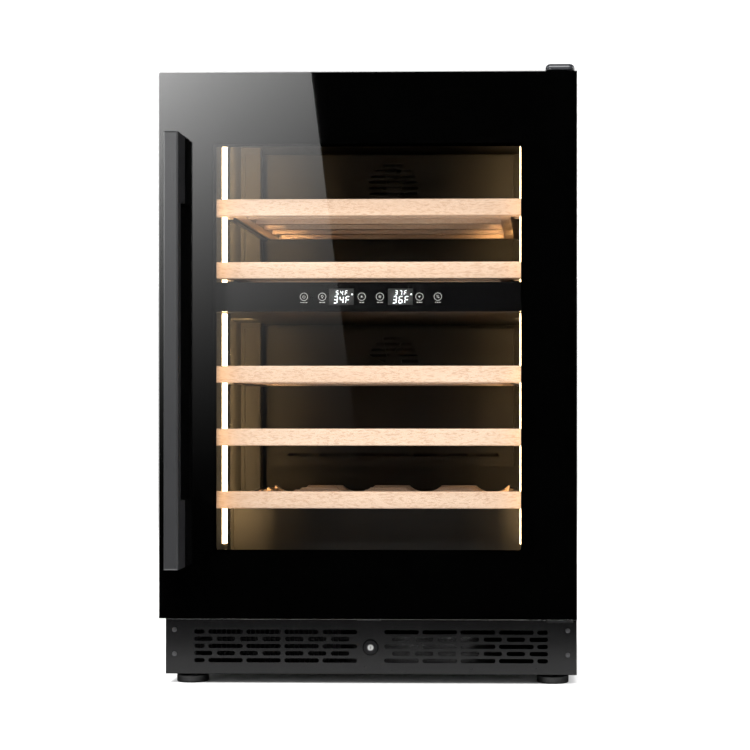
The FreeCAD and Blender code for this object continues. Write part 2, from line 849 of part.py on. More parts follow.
def condenser_fan():
    """Fan that draws air over the condenser and out over the compressor."""
    x = machine_x
    y = bay_y - fan_plate_gap
    z = pan_floor + bay_fan_rise
    back = y + fan_plate_t
    side = fan_plate_w / 2
    plate = block(x - side, x + side, y, back, pan_floor, deck_level - past)
    plate = cut(plate, [rod(fan_r + fan_tip_gap, fan_plate_t + 2 * past, x, y - past, z, "y")])
    reach = fan_r + strut_lap
    struts = [block(x - reach, x + reach, back - strut_t, back, z - strut_w / 2, z + strut_w / 2),
              block(x - strut_w / 2, x + strut_w / 2, back - strut_t, back, z - reach, z + reach)]
    motor = rod(motor_r, bay_motor_t, x, back - strut_t, z, "y")
    shaft = rod(shaft_r, bay_rotor_gap + fan_plate_t, x, y - bay_rotor_gap - past, z, "y")
    piece("condenser_fan_shroud", fused([plate] + struts + [motor, shaft]))
    piece("condenser_fan_rotor", fan_rotor(x, y - bay_rotor_gap, z))


def power_inlet():
    """Control box with the mains inlet, at the back on the right."""
    right = half - inlet_inset
    left = right - inlet_w
    low = foot_height + inlet_rise
    high = low + inlet_h
    box_low = low - inlet_box_drop
    inside = back_y - sheet
    box = block(left - inlet_box_side, right + inlet_box_side, inside - inlet_box_t, inside,
                box_low, box_low + inlet_box_h)
    neck = block(left, right, back_y - 2 * sheet, back_y, low, high)
    well = block(left + inlet_wall, right - inlet_wall, back_y - inlet_depth, back_y + past,
                 low + inlet_wall, high - inlet_wall)
    pins = []
    pin_low = low + inlet_wall + inlet_pin_rise
    for place in (-1, 0, 1):
        x = (left + right) / 2 + place * inlet_pin_pitch
        pins.append(block(x - inlet_pin_w / 2, x + inlet_pin_w / 2, back_y - inlet_depth - inlet_pin_root,
                          back_y - inlet_pin_sink, pin_low, pin_low + inlet_pin_h))
    stand_back = inside - stand_gap
    stand_x = inlet_box_side - stand_side
    stand = block(left - stand_x, right + stand_x, stand_back - stand_t, stand_back, pan_floor, box_low)
    piece("power_inlet", fused([cut(fused([box, neck, stand]), [well])] + pins))


# ---- kick panel and lock -----------------------------------------------------------------
def kick_slots(y0, y1):
    """Cutters for the rows of slots in both halves of the kick panel."""
    end = half - slot_margin
    long_slot = (end - slot_start - end_slot - long_count * slot_rib) / long_count
    short_run = end - slot_start_short
    short_slot = (short_run - (short_count - 1) * short_rib) / short_count
    middle = (kick_bottom + kick_top) / 2 + slot_rise
    tools = []
    for row in range(slot_rows):
        level = middle + (row - (slot_rows - 1) / 2) * slot_pitch
        spans = []
        if row % 2 == 0:
            for n in range(long_count):
                start = slot_start + n * (long_slot + slot_rib)
                spans.append((start, start + long_slot))
            spans.append((end - end_slot, end))
        else:
            for n in range(short_count):
                start = slot_start_short + n * (short_slot + short_rib)
                spans.append((start, start + short_slot))
        for start, stop in spans:
            tools += both_sides(slot(start, stop, level, slot_h, y0, y1))
    return tools


def kick_grille():
    """Slotted kick panel with returned edges and the lock's hole."""
    back = kick_y + kick_t
    through = kick_t + 2 * past
    plate = bar(half, kick_y, back, kick_bottom, kick_top)
    plate = rounded(plate, kick_edge_r, lambda c, e: c.y < kick_y + near)
    side = half - sheet - kick_side_gap
    top = bar(side, back, back + kick_return, kick_top - kick_t, kick_top)
    ends = both_sides(block(side - kick_t, side, back, back + kick_return,
                            foot_height + kick_end_rise, kick_top))
    guide_x = bolt_w / 2 + guide_gap
    guides = both_sides(block(guide_x, guide_x + guide_wall, back, bolt_y + bolt_t, guide_low, kick_top))
    panel = fused([plate, top] + ends + guides)
    tools = kick_slots(kick_y - past, back + past)
    tools.append(rod(lock_barrel_r, through, 0, kick_y - past, lock_level, "y"))
    for x in (-half + kick_screw_inset, half - kick_screw_inset):
        tools += [rod(screw_shank_r, through, x, kick_y - past, z, "y") for z in kick_screw_levels]
    piece("kick_grille", cut(panel, tools))


def kick_screws():
    """Four cross-head screws at the ends of the kick panel."""
    front = kick_y - screw_head_t
    long_arm = cross_w / 2
    thin_arm = cross_t / 2
    screws = []
    for x in (-half + kick_screw_inset, half - kick_screw_inset):
        for z in kick_screw_levels:
            head = rod(kick_screw_r, screw_head_t, x, front, z, "y")
            head = rounded(head, screw_dome_r, lambda c, e: c.y < front + near)
            shank = rod(screw_shank_r, screw_length, x, kick_y, z, "y")
            cross = [block(x - across, x + across, front - past, kick_y - cross_floor, z - up, z + up)
                     for across, up in ((long_arm, thin_arm), (thin_arm, long_arm))]
            screws.append(cut(fused([head, shank]), cross))
    piece("kick_screws", *screws)


def lock():
    """Cam lock in the kick panel: housing, turning core and rising bolt."""
    flange_front = kick_y - lock_flange_t
    flange = rod(lock_flange_r, lock_flange_t, 0, flange_front, lock_level, "y")
    flange = rounded(flange, lock_edge_r, lambda c, e: c.y < flange_front + near)
    barrel = rod(lock_barrel_r, lock_barrel_run, 0, kick_y, lock_level, "y")
    bore = rod(lock_core_r + lock_clearance, lock_flange_t + lock_barrel_run + 2 * past, 0,
               flange_front - past, lock_level, "y")
    piece("lock_housing", cut(fused([flange, barrel]), [bore]))

    core_front = kick_y - core_proud
    nose_front = core_front - nose_t
    behind = kick_y + lock_barrel_run + crank_gap
    bolt_back = bolt_y + bolt_t
    core = rod(lock_core_r, behind - core_front, 0, core_front, lock_level, "y")
    nose = bar(nose_half, nose_front, core_front, lock_level - nose_half, lock_level + nose_half)
    way = bar(key_way_w / 2, nose_front - past, kick_y + key_way_depth,
              lock_level - key_way_h / 2, lock_level + key_way_h / 2)
    crank = rod(lock_crank + crank_rim, crank_t, 0, behind, lock_level, "y")
    peg = rod(peg_r, bolt_back - behind, -lock_crank, behind, lock_level, "y")
    piece("lock_core", cut(fused([core, nose, crank, peg]), [way]))

    blade = bar(bolt_w / 2, bolt_y, bolt_back, lock_level, kick_top - bolt_sink)
    paddle = bar(lock_crank + paddle_side, bolt_y, bolt_back, lock_level - paddle_half, paddle_top)
    window = block(-lock_crank - window_side, window_side, bolt_y - past, bolt_back + past,
                   lock_level - window_half, lock_level + window_half)
    piece("lock_bolt", cut(fused([blade, paddle]), [window]))


# ---- hinges ------------------------------------------------------------------------------
def hinges():
    """Top and bottom hinge brackets with their pins, and the cap over the top one."""
    x1 = hinge_x + hinge_lap
    x0 = x1 - hinge_plate_w
    front = hinge_y - hinge_lap
    back = flange_y + hinge_plate_reach
    plate = block(x0, x1, front, back, height, height + hinge_plate_t)
    plate = rounded(plate, hinge_corner_r, lambda c, e: c.y < front + near and runs_along(e, 2))
    pin = rod(pin_r, pin_length + hinge_plate_t, hinge_x, hinge_y, height - pin_length)
    piece("top_hinge_bracket", fused([plate, pin]))

    cap_top = height + hinge_plate_t + hinge_cap_h
    cap = block(x0 - cap_wall, x1 + cap_wall, front - cap_wall, back + cap_wall, height, cap_top)
    cap = rounded(cap, cap_corner_r, lambda c, e: runs_along(e, 2))
    cap = rounded(cap, cap_edge_r, lambda c, e: abs(c.z - cap_top) < near)
    room = block(x0, x1, front, back, height - past, height + hinge_plate_t)
    outside = cap_wall + past
    door_side = block(x0 - outside, x1 + outside, front - outside, flange_y, height - past, height + cap_lift)
    piece("top_hinge_cover", cut(cap, [room, door_side]))

    foot_low = kick_top + hinge_foot_gap
    foot = block(x0, x1, front, flange_y, foot_low, foot_low + hinge_foot_t)
    foot = rounded(foot, hinge_corner_r, lambda c, e: c.y < front + near and runs_along(e, 2))
    leg = block(x0, x1, flange_y - hinge_plate_t, flange_y, foot_low, foot_low + hinge_leg_h)
    pin = rod(pin_r, door_bottom + pin_length - foot_low, hinge_x, hinge_y, foot_low)
    piece("bottom_hinge_bracket", fused([foot, leg, pin]))


# ---- door ----------------------------------------------------------------------------------
def ring(outset, opening, y0, y1):
    """A frame between the door's outline drawn in by outset and by opening."""
    outer = bar(half - outset, y0, y1, door_bottom + outset, door_top - outset)
    inner = bar(half - opening, y0 - past, y1 + past, door_bottom + opening, door_top - opening)
    return cut(outer, [inner])


def door():
    """Door frame, double glazing and magnetic seal."""
    glass_back = face_y + outer_glass_t
    pane_y = glass_back + pane_gap
    pane_back = pane_y + inner_glass_t
    glass = bar(half, face_y, glass_back, door_bottom, door_top)
    glass = chamfered(glass, glass_edge, lambda c, e: c.y < face_y + near)
    piece("outer_glass", glass)

    frame = fused([ring(frame_inset, frame_w - frame_rebate, glass_back, pane_back),
                   ring(frame_inset, frame_w, pane_back, frame_back_y)])
    frame = rounded(frame, frame_edge_r, lambda c, e: c.y > frame_back_y - near and
                    (abs(c.x) > half - frame_edge_r or c.z > door_top - frame_edge_r or
                     c.z < door_bottom + frame_edge_r))
    keeper_low = kick_top + keeper_gap
    keeper_high = keeper_low + keeper_t
    keeper = fused([bar(keeper_half, pane_back, bolt_y + bolt_t + keeper_rim, keeper_low, keeper_high),
                    bar(keeper_half, pane_back, pane_back + keeper_leg_t, keeper_low,
                        door_bottom + keeper_lap)])
    eye = bar(bolt_w / 2 + eye_side, bolt_y - eye_play, bolt_y + bolt_t + eye_play,
              keeper_low - past, keeper_high + past)
    bore_run = pin_length + 2 * pin_end_gap
    bores = [rod(pin_r + pin_clearance, bore_run, hinge_x, hinge_y, start)
             for start in (door_top - pin_length - pin_end_gap, door_bottom - pin_end_gap)]
    piece("door_frame", cut(fused([frame, keeper]), [eye] + bores))

    side = frame_w - frame_rebate + pane_play
    piece("glass_spacer", ring(side, side + spacer_w, glass_back, pane_y))
    piece("inner_glass", bar(half - side, pane_y, pane_back, door_bottom + side, door_top - side))

    seal_back = frame_back_y + gasket_t
    seal = ring(gasket_inset, gasket_inset + gasket_w, frame_back_y, seal_back)
    groove = ring(gasket_inset + seal_lip, gasket_inset + gasket_w - seal_lip,
                  seal_back - seal_groove, seal_back + past)
    piece("door_gasket", cut(seal, [groove]))


def handle():
    """Square bar handle on two long block posts."""
    x0 = -half + handle_inset
    x1 = x0 + handle_w
    top = door_top - handle_drop
    low = top - handle_length
    front = face_y - handle_reach
    grip = block(x0, x1, front, front + handle_bar_t, low, top)
    grip = chamfered(grip, handle_chamfer, lambda c, e: c.y < front + near)
    piece("handle_bar", grip)
    posts = []
    for z in (low, top - handle_post_h):
        posts.append(block(x0, x1, front + handle_bar_t, face_y, z, z + handle_post_h))
    piece("handle_posts", *posts)


# ---- feet ----------------------------------------------------------------------------------
def levelling_feet():
    """Four screw feet in the base pan's bosses."""
    names = ("front_left", "rear_left", "front_right", "rear_right")
    places = [(x, y) for x in (-foot_x, foot_x) for y in foot_ys]
    for name, (x, y) in zip(names, places):
        pad = rod(foot_r, foot_pad_h, x, y, 0)
        pad = rounded(pad, foot_edge_r, lambda c, e: e.Length > foot_r)
        collar = rod(foot_stem_r + collar_rim, collar_h, x, y, foot_pad_h - collar_sink)
        stem = rod(foot_stem_r, foot_stem_top - foot_pad_h, x, y, foot_pad_h)
        piece(f"foot_{name}", fused([pad, collar, stem]))


def main():
    """Builds every piece and writes one file for each name."""
    outer_wrap()
    back_panel()
    base_pan()
    machine_deck()
    inner_liner()
    foam_insulation()
    zone_divider()
    control_fascia()
    control_electronics()
    light_strips()
    slide_uprights()
    slide_channels()
    for number, top in enumerate(reversed(shelf_tops), 1):
        shelf(number, top)
    evaporators()
    compressor()
    drip_tray()
    condenser()
    condenser_fan()
    power_inlet()
    kick_grille()
    kick_screws()
    lock()
    hinges()
    door()
    handle()
    levelling_feet()
    os.makedirs("parts", exist_ok=True)
    for name, solids in pieces.items():
        shape = Part.makeCompound([solid for whole in solids for solid in whole.Solids])
        if len(shape.Solids) == 1:
            shape = shape.Solids[0]
        shape.exportStep(f"parts/{name}.step")
        print(name, len(shape.Solids), round(shape.Volume), shape.isValid())
    print(len(pieces), "pieces")


main()
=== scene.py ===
# %% [markdown]
# # A wine cooler with a full glass door
# The cooler is a black steel cabinet, a liner with two zones, five beech shelves and a door whose
# glass covers the whole front. Its shapes were designed in CAD, so this lesson doesn't model them
# again. It adds what a CAD part leaves out: the print on the glass, the lit numbers and signs, the
# folded rubber of the door seal, and a finish for every piece, then a camera and studio light.
# The first step loads the designed model as a fixed frame.

# %% Load the frame
import math

import bmesh
import bpy
from mathutils import Matrix, Vector


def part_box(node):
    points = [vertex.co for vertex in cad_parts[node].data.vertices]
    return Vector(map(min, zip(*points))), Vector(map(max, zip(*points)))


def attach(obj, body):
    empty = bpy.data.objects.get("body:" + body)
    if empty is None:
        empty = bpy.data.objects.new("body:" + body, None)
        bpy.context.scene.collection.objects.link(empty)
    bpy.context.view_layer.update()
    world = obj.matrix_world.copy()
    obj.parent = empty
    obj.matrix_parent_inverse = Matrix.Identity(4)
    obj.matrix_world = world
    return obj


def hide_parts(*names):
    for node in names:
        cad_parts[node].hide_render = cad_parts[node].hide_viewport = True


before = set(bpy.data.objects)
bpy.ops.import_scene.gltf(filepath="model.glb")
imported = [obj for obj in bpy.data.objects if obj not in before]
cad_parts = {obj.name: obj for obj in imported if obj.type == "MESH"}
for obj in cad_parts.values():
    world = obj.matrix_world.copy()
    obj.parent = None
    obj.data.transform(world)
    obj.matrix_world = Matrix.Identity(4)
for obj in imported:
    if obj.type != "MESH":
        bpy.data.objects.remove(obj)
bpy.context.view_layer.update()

MM = 0.001

# %% [markdown]
# ## A small language for finishes
# A finish in Blender is a graph of nodes. Graphs can be wired by hand, but sums such as
# `roughness + 0.1 * speckle` are easier to read as sums. `Wire` wraps one output of a node and adds a
# Math node for every + - * / or power, also when the number stands on the left, as in `1 - mask`.
# `Finish` is one material. Its `node` method makes any node: first its settings are set, then its
# sockets get numbers, colours or wires. Patterns read Object coordinates, which are metres in the
# frame of the whole cooler, so a pattern has one true scale everywhere and never slides.

# %% Wire and Finish
class Wire:
    """One output of a node in a finish; arithmetic on it adds Math nodes."""

    def __init__(self, finish, socket):
        self.finish = finish
        self.socket = socket

    def maths(self, operation, left, right):
        return self.finish.node("ShaderNodeMath", {"operation": operation}, {0: left, 1: right})

    def __add__(self, other):
        return self.maths("ADD", self, other)

    def __radd__(self, other):
        return self.maths("ADD", other, self)

    def __sub__(self, other):
        return self.maths("SUBTRACT", self, other)

    def __rsub__(self, other):
        return self.maths("SUBTRACT", other, self)

    def __mul__(self, other):
        return self.maths("MULTIPLY", self, other)

    def __rmul__(self, other):
        return self.maths("MULTIPLY", other, self)

    def __truediv__(self, other):
        return self.maths("DIVIDE", self, other)

    def __pow__(self, other):
        return self.maths("POWER", self, other)

    def __rpow__(self, other):
        return self.maths("POWER", other, self)


class Finish:
    """One material, with short methods for the nodes that finishes are made of."""

    def __init__(self, name):
        self.material = bpy.data.materials.new(name)
        self.material.use_nodes = True
        self.tree = self.material.node_tree
        self.tree.nodes.clear()
        self.place = self.node("ShaderNodeTexCoord", out="Object")

    def node(self, kind, settings=None, sockets=None, out=0):
        made = self.tree.nodes.new(kind)
        for name, value in (settings or {}).items():
            setattr(made, name, value)
        for name, value in (sockets or {}).items():
            if isinstance(value, Wire):
                self.tree.links.new(value.socket, made.inputs[name])
            else:
                made.inputs[name].default_value = value
        return Wire(self, made.outputs[out]) if made.outputs else None

    def axis(self, letter):
        return self.node("ShaderNodeSeparateXYZ", None, {0: self.place}, letter)

    def stretched(self, x, y, z):
        sockets = {0: self.place, 1: (x, y, z)}
        return self.node("ShaderNodeVectorMath", {"operation": "MULTIPLY"}, sockets)

    def noise(self, size, detail=2.0, place=None):
        sockets = {"Vector": place or self.place, "Scale": 1 / size, "Detail": detail}
        return self.node("ShaderNodeTexNoise", None, sockets, "Fac")

    def cells(self, size, out="Distance"):
        sockets = {"Vector": self.place, "Scale": 1 / size}
        return self.node("ShaderNodeTexVoronoi", None, sockets, out)

    def cell_number(self, size):
        """One random number, the same all over each cell."""
        return self.node("ShaderNodeSeparateColor", None, {0: self.cells(size, "Color")}, "Red")

    def zigzag(self, value, height):
        """Rises from 0 to height and falls back, over and over, as value grows."""
        return self.node("ShaderNodeMath", {"operation": "PINGPONG"}, {0: value, 1: height})

    def masked(self, value, low, high):
        """0 below low, 1 above high, smooth between."""
        sockets = {"Value": value, "From Min": low, "From Max": high}
        return self.node("ShaderNodeMapRange", {"interpolation_type": "SMOOTHSTEP"}, sockets)

    def mix(self, factor, first, second):
        """Colours are the mix node's sockets 6 and 7, and its output 2."""
        first = first if isinstance(first, Wire) else (*first, 1.0)
        second = second if isinstance(second, Wire) else (*second, 1.0)
        sockets = {0: factor, 6: first, 7: second}
        return self.node("ShaderNodeMix", {"data_type": "RGBA"}, sockets, 2)

    def bump(self, height, depth):
        return self.node("ShaderNodeBump", None, {"Height": height, "Distance": depth}, "Normal")

    def close(self, shader):
        self.node("ShaderNodeOutputMaterial", None, {"Surface": shader})
        return self

    def principled(self, **sockets):
        named = {name.replace("_", " "): value for name, value in sockets.items()}
        return self.close(self.node("ShaderNodeBsdfPrincipled", None, named, "BSDF"))


def shade(colour, factor):
    """A colour made lighter or darker."""
    return tuple(part * factor for part in colour)


def dress(finish, *names):
    """Puts a finish on CAD pieces by name; `shelf_rack` alone takes all five racks."""
    dressed = 0
    for node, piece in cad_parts.items():
        if node.startswith(names):
            for slot in piece.material_slots:
                slot.material = finish.material
            dressed += 1
    print(finish.material.name, "on", dressed, "pieces")


# %% [markdown]
# ## Coats and mouldings
# Most of the cooler is one of two things: sheet steel under a powder coat, or moulded plastic. Both
# are one colour with a fine grain, a slow change of tone over the sheet and a gloss that wanders a
# little, so one function makes them all. Its values are the size of the grain, how deep the grain
# is, and how far the gloss wanders. Grain is bump, because it is under a tenth of a millimetre high.
# The coats themselves are rows of a table, so that they can be compared.

# %% A coat of one colour
MIDDLE = 0.5  # what a noise comes to on average
TONE_PATCH = 90 * MM
WORN_PATCH = 9 * MM
DARKER = 0.8
LIGHTER = 1.2
DUSTY = 1.8
DUST = 0.3


def coat(name, colour, roughness, grain, depth, wander=0.1, metallic=0.0, specular=0.5):
    finish = Finish(name)
    fine = finish.noise(grain, detail=3.0)
    slow = finish.noise(TONE_PATCH, detail=4.0)
    worn = finish.masked(finish.noise(WORN_PATCH, detail=6.0), low=0.55, high=0.85)
    tone = finish.mix(slow, shade(colour, DARKER), shade(colour, LIGHTER))
    dusty = finish.mix(worn * DUST, tone, shade(colour, DUSTY))
    drift = wander * (slow - MIDDLE)
    speckle = 0.3 * wander * (fine - MIDDLE)
    gloss = roughness + drift + 0.5 * wander * worn + speckle
    return finish.principled(Base_Color=dusty, Roughness=gloss, Metallic=metallic,
                             Specular_IOR_Level=specular, Normal=finish.bump(fine, depth))


def dress_in_coats(table):
    for name, colour, roughness, grain, depth, other, pieces in table:
        dress(coat(name, colour, roughness, grain * MM, depth * MM, **other), *pieces)


# %% [markdown]
# ## The cabinet, its back and its plinth
# The wrap, the kick panel and the hinges are black powder coat, a fine orange peel about half a
# millimetre across. The rear panel is a coarser, duller coat, because nobody sees it once the cooler
# stands between cupboards. The kick panel is smoother and blacker than the cabinet, so what it shows
# is mostly the floor in front of it, mirrored.

# %% Steel under powder coat
# name, colour, roughness, size and depth of the grain in mm, other values, pieces
STEEL_COATS = (
    ("cabinet powder coat", (0.010, 0.010, 0.011), 0.38, 0.7, 0.06, {}, ("outer_wrap",)),
    ("rear panel coat", (0.03, 0.03, 0.031), 0.55, 1.1, 0.09, {"wander": 0.2}, ("back_panel",)),
    ("kick panel coat", (0.0018, 0.0018, 0.002), 0.24, 0.6, 0.02, {"specular": 0.28},
     ("kick_grille", "base_pan")),
    ("hinge black", (0.004, 0.004, 0.0043), 0.35, 0.5, 0.03, {"specular": 0.3},
     ("top_hinge_bracket", "bottom_hinge_bracket")),
)
dress_in_coats(STEEL_COATS)

# %% [markdown]
# ## Mouldings in black plastic
# The liner is vacuum formed sheet with a fine stipple, the fascia is a gloss panel, the door frame is
# an extrusion with a soft sheen, and the feet, fans, shrouds and inlet are plain injection mouldings.
# They differ in gloss and grain more than in colour, which is how a real black appliance reads. The
# painted condenser, the enamelled compressor and its rubber mounts are in the same table.

# %% Black plastics
# name, colour, roughness, size and depth of the grain in mm, other values, pieces
PLASTICS = (
    ("liner sheet", (0.030, 0.029, 0.028), 0.46, 1.4, 0.08, {},
     ("inner_liner", "evaporator_covers", "slide_uprights", "zone_divider")),
    ("fascia gloss", (0.003, 0.003, 0.0033), 0.16, 3, 0.004, {"wander": 0.05}, ("control_fascia",)),
    ("key caps", (0.003, 0.003, 0.0033), 0.2, 2, 0.004, {"wander": 0.05}, ("touch_keys",)),
    ("door frame", (0.008, 0.008, 0.0085), 0.32, 0.8, 0.02, {}, ("door_frame",)),
    ("spacer bar", (0.006, 0.006, 0.006), 0.5, 0.4, 0.03, {"metallic": 0.4}, ("glass_spacer",)),
    ("hinge cap", (0.016, 0.017, 0.02), 0.27, 0.5, 0.02, {}, ("top_hinge_cover",)),
    ("foot plastic", (0.008, 0.008, 0.008), 0.42, 0.6, 0.05, {}, ("foot_",)),
    ("fan blades", (0.02, 0.02, 0.02), 0.34, 1.2, 0.03, {}, ("fan_rotor", "condenser_fan_rotor")),
    ("motor black", (0.02, 0.02, 0.021), 0.45, 0.6, 0.05, {},
     ("evaporator_fan_motors", "condenser_fan_shroud")),
    ("inlet plastic", (0.018, 0.018, 0.018), 0.5, 0.5, 0.05, {}, ("power_inlet",)),
    ("tray plastic", (0.09, 0.09, 0.092), 0.5, 0.7, 0.04, {}, ("drip_tray",)),
    ("condenser paint", (0.004, 0.004, 0.004), 0.4, 0.5, 0.03, {"specular": 0.2},
     ("condenser_coil",)),
    ("compressor enamel", (0.009, 0.009, 0.0095), 0.18, 6, 0.1, {"wander": 0.16}, ("compressor",)),
    ("mount rubber", (0.018, 0.018, 0.018), 0.8, 0.4, 0.08, {"specular": 0.3},
     ("compressor_mounts",)),
)
dress_in_coats(PLASTICS)

# %% [markdown]
# ## Bare metals
# Zinc plate shows a spangle, crystals a few millimetres wide that each catch light their own way, so
# a cell pattern gives every crystal its own tone and gloss. The plate here is passivated black, so
# both tones are dark. Drawn and brushed steel has fine lines along the piece instead, which are noise
# stretched a hundredfold on one axis. The evaporator's fins are rolled aluminium, and the lock's core
# has a nose of chrome, with the faint haze of a polishing wheel, in a nearly black face.

# %% Black zinc, steel and aluminium
CRYSTAL = 6 * MM
ALONG_THE_LINES = 0.01


def zinc_plate():
    finish = Finish("zinc plate")
    crystal = finish.cell_number(CRYSTAL)
    fine = finish.noise(0.5 * MM)
    tone = finish.mix(crystal, (0.035, 0.036, 0.037), (0.075, 0.076, 0.08))
    dull = finish.masked(finish.noise(60 * MM, detail=5.0), low=0.45, high=0.75)
    dulled = finish.mix(dull * 0.6, tone, (0.03, 0.03, 0.029))
    gloss = 0.34 + 0.16 * crystal + 0.06 * fine
    return finish.principled(Base_Color=dulled, Metallic=1.0, Roughness=gloss,
                             Normal=finish.bump(fine, 0.02 * MM))


def drawn_metal(name, colour, roughness, along, line=0.25 * MM, depth=0.01 * MM, metallic=1.0):
    """Lines run along one axis: "x", "y" or "z"."""
    finish = Finish(name)
    squeeze = [ALONG_THE_LINES if axis == along else 1.0 for axis in "xyz"]
    lines = finish.noise(line, detail=3.0, place=finish.stretched(*squeeze))
    slow = finish.noise(50 * MM, detail=3.0)
    tone = finish.mix(lines, shade(colour, 0.85), shade(colour, 1.15))
    gloss = roughness + 0.12 * (lines - MIDDLE) + 0.1 * (slow - MIDDLE)
    return finish.principled(Base_Color=tone, Metallic=metallic, Roughness=gloss,
                             Normal=finish.bump(lines, depth))


slide_steel = drawn_metal("slide steel", (0.32, 0.32, 0.33), roughness=0.32, along="y")
fin_aluminium = drawn_metal("fin aluminium", (0.62, 0.63, 0.64), roughness=0.36, along="z")
screw_black = drawn_metal("screw black", (0.05, 0.05, 0.052), roughness=0.33, along="z",
                          line=0.4 * MM, metallic=0.4)
dress(zinc_plate(), "machine_deck", "lock_bolt")
dress(slide_steel, "shelf_slides", "slide_channels")
dress(fin_aluminium, "evaporators")
dress(screw_black, "kick_screws")

# %% The lock's face
FACE_EDGE = 0.3  # mm over which one tone of the face turns into the next


def lock_face(name, nose, rim, metallic):
    """Chrome within the nose, dark around it, black past the rim; both are radii in mm."""
    finish = Finish(name)
    low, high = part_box("lock_housing")
    up = finish.axis("Z") - (low.z + high.z) / 2
    away = (finish.axis("X") ** 2.0 + up ** 2.0) ** 0.5 / MM
    turned = finish.noise(0.3 * MM)
    chrome = finish.mix(turned, (0.40, 0.40, 0.39), (0.62, 0.62, 0.61))
    around = finish.masked(away, nose, nose + FACE_EDGE)
    beyond = finish.masked(away, rim, rim + FACE_EDGE)
    face = finish.mix(around, chrome, (0.020, 0.020, 0.021))
    tone = finish.mix(beyond, face, (0.0005, 0.0005, 0.0005))
    return finish.principled(Base_Color=tone, Metallic=metallic, Roughness=0.26 + 0.08 * turned,
                             Normal=finish.bump(turned, 0.004 * MM))


dress(lock_face("lock housing", nose=0.0, rim=10.0, metallic=1.0), "lock_housing")
dress(lock_face("lock core", nose=4.1, rim=5.6, metallic=0.6), "lock_core")

# %% [markdown]
# ## The handle
# The handle is an aluminium bar under a satin charcoal lacquer. Lacquer over brushed metal keeps a
# trace of the lines, so this is the drawn metal again with the lines along the bar, but all paint,
# with a wide soft highlight.

# %% Handle lacquer
handle_lacquer = drawn_metal("handle lacquer", (0.018, 0.0182, 0.0193), roughness=0.3, along="z",
                             line=0.35 * MM, depth=0.004 * MM, metallic=0.0)
dress(handle_lacquer, "handle_bar", "handle_posts")

# %% [markdown]
# ## Beech
# Steamed beech is pale pinkish brown. Up close it shows short dark flecks, the rays, two to four
# millimetres long and half a millimetre high, and far softer bands where the boards were cut across
# the years of growth. Both run along the board. The shelf fronts and cradles lie along X, but the
# racks' side rails lie along Y, so the grain's direction is chosen by which way the piece runs: the
# fronts have their own finish, and the racks have one with a quieter figure that suits both.

# %% Beech fronts and racks
BEECH_DARK = (0.66, 0.465, 0.345)
BEECH_LIGHT = (0.74, 0.55, 0.425)
FLECK_BROWN = (0.42, 0.24, 0.14)
WARM_BROWN = (0.66, 0.43, 0.28)


def beech(name, fleck_strength, along_x):
    finish = Finish(name)
    along, across = (0.22, 1.0) if along_x else (0.6, 0.6)
    grain = finish.stretched(along, across, 1.0)
    bands = finish.noise(26 * MM, 4.0, finish.stretched(0.06, 0.5, 1.0))
    figure = finish.mix(finish.masked(bands, low=0.3, high=0.7), BEECH_DARK, BEECH_LIGHT)
    flecks = finish.masked(finish.noise(1.5 * MM, 2.0, grain), low=0.52, high=0.62)
    broad = finish.masked(finish.noise(3.2 * MM, 3.0, grain), low=0.5, high=0.8)
    flecked = finish.mix(flecks * fleck_strength, figure, FLECK_BROWN)
    warm = finish.mix(broad * 0.3, flecked, WARM_BROWN)
    pores = finish.noise(0.3 * MM, 2.0, grain)
    return finish.principled(Base_Color=warm, Roughness=0.46 + 0.18 * flecks - 0.08 * broad,
                             Specular_IOR_Level=0.35,
                             Normal=finish.bump(pores + 0.5 * flecks, 0.05 * MM))


dress(beech("beech front", fleck_strength=0.42, along_x=True), "shelf_front")
dress(beech("beech rack", fleck_strength=0.4, along_x=False), "shelf_rack")

# %% [markdown]
# ## Foam, board and the small parts
# Some pieces are seen only when the cooler is opened up. The insulation is poured yellow foam with a
# skin of tiny cells. The control board is green lacquer over a faint weave, with copper showing
# through as thin straight tracks.

# %% Foam and circuit board
FOAM_CELL = 1.6 * MM
TRACK_PITCH = 1.3 * MM
TRACK_BLOCK = 14 * MM


def poured_foam():
    finish = Finish("poured foam")
    cell = finish.cells(FOAM_CELL)
    tone = finish.mix(cell, (0.72, 0.6, 0.3), (0.9, 0.8, 0.5))
    return finish.principled(Base_Color=tone, Roughness=0.8 + 0.15 * finish.noise(20 * MM),
                             Normal=finish.bump(cell, 0.4 * MM))


def circuit_board():
    finish = Finish("circuit board")
    comb = finish.zigzag(finish.axis("Z"), TRACK_PITCH) * (1 / MM)
    block = finish.cell_number(TRACK_BLOCK)
    track = finish.masked(comb, low=0.85, high=0.95) * finish.masked(block, low=0.45, high=0.5)
    tone = finish.mix(track, (0.01, 0.075, 0.03), (0.05, 0.2, 0.06))
    return finish.principled(Base_Color=tone, Roughness=0.3 + 0.15 * finish.noise(0.4 * MM),
                             Normal=finish.bump(track, 0.04 * MM))


dress(poured_foam(), "foam_insulation")
dress(circuit_board(), "control_board")

# %% [markdown]
# ## Glass
# Clear float glass is two effects: most light passes straight through, slightly tinted, and a little
# reflects like a mirror, more the flatter the angle. A refracting glass shader does both but turns
# the inside of the cooler into noise, because lamps can't shine through it. A Mix Shader between
# Transparent and Glossy lets the lamps through and has no noise. Its factor is Schlick's rule for
# glass, 4% straight on and rising with the fifth power of the angle. Layer Weight's Facing gives the
# angle and is the same on both sides of a pane. A fingerprint haze a few percent stronger in places
# goes into the roughness of the mirror part.

# %% Panes
HEAD_ON = 0.043
POLISH = 0.004
HAZE = 0.006


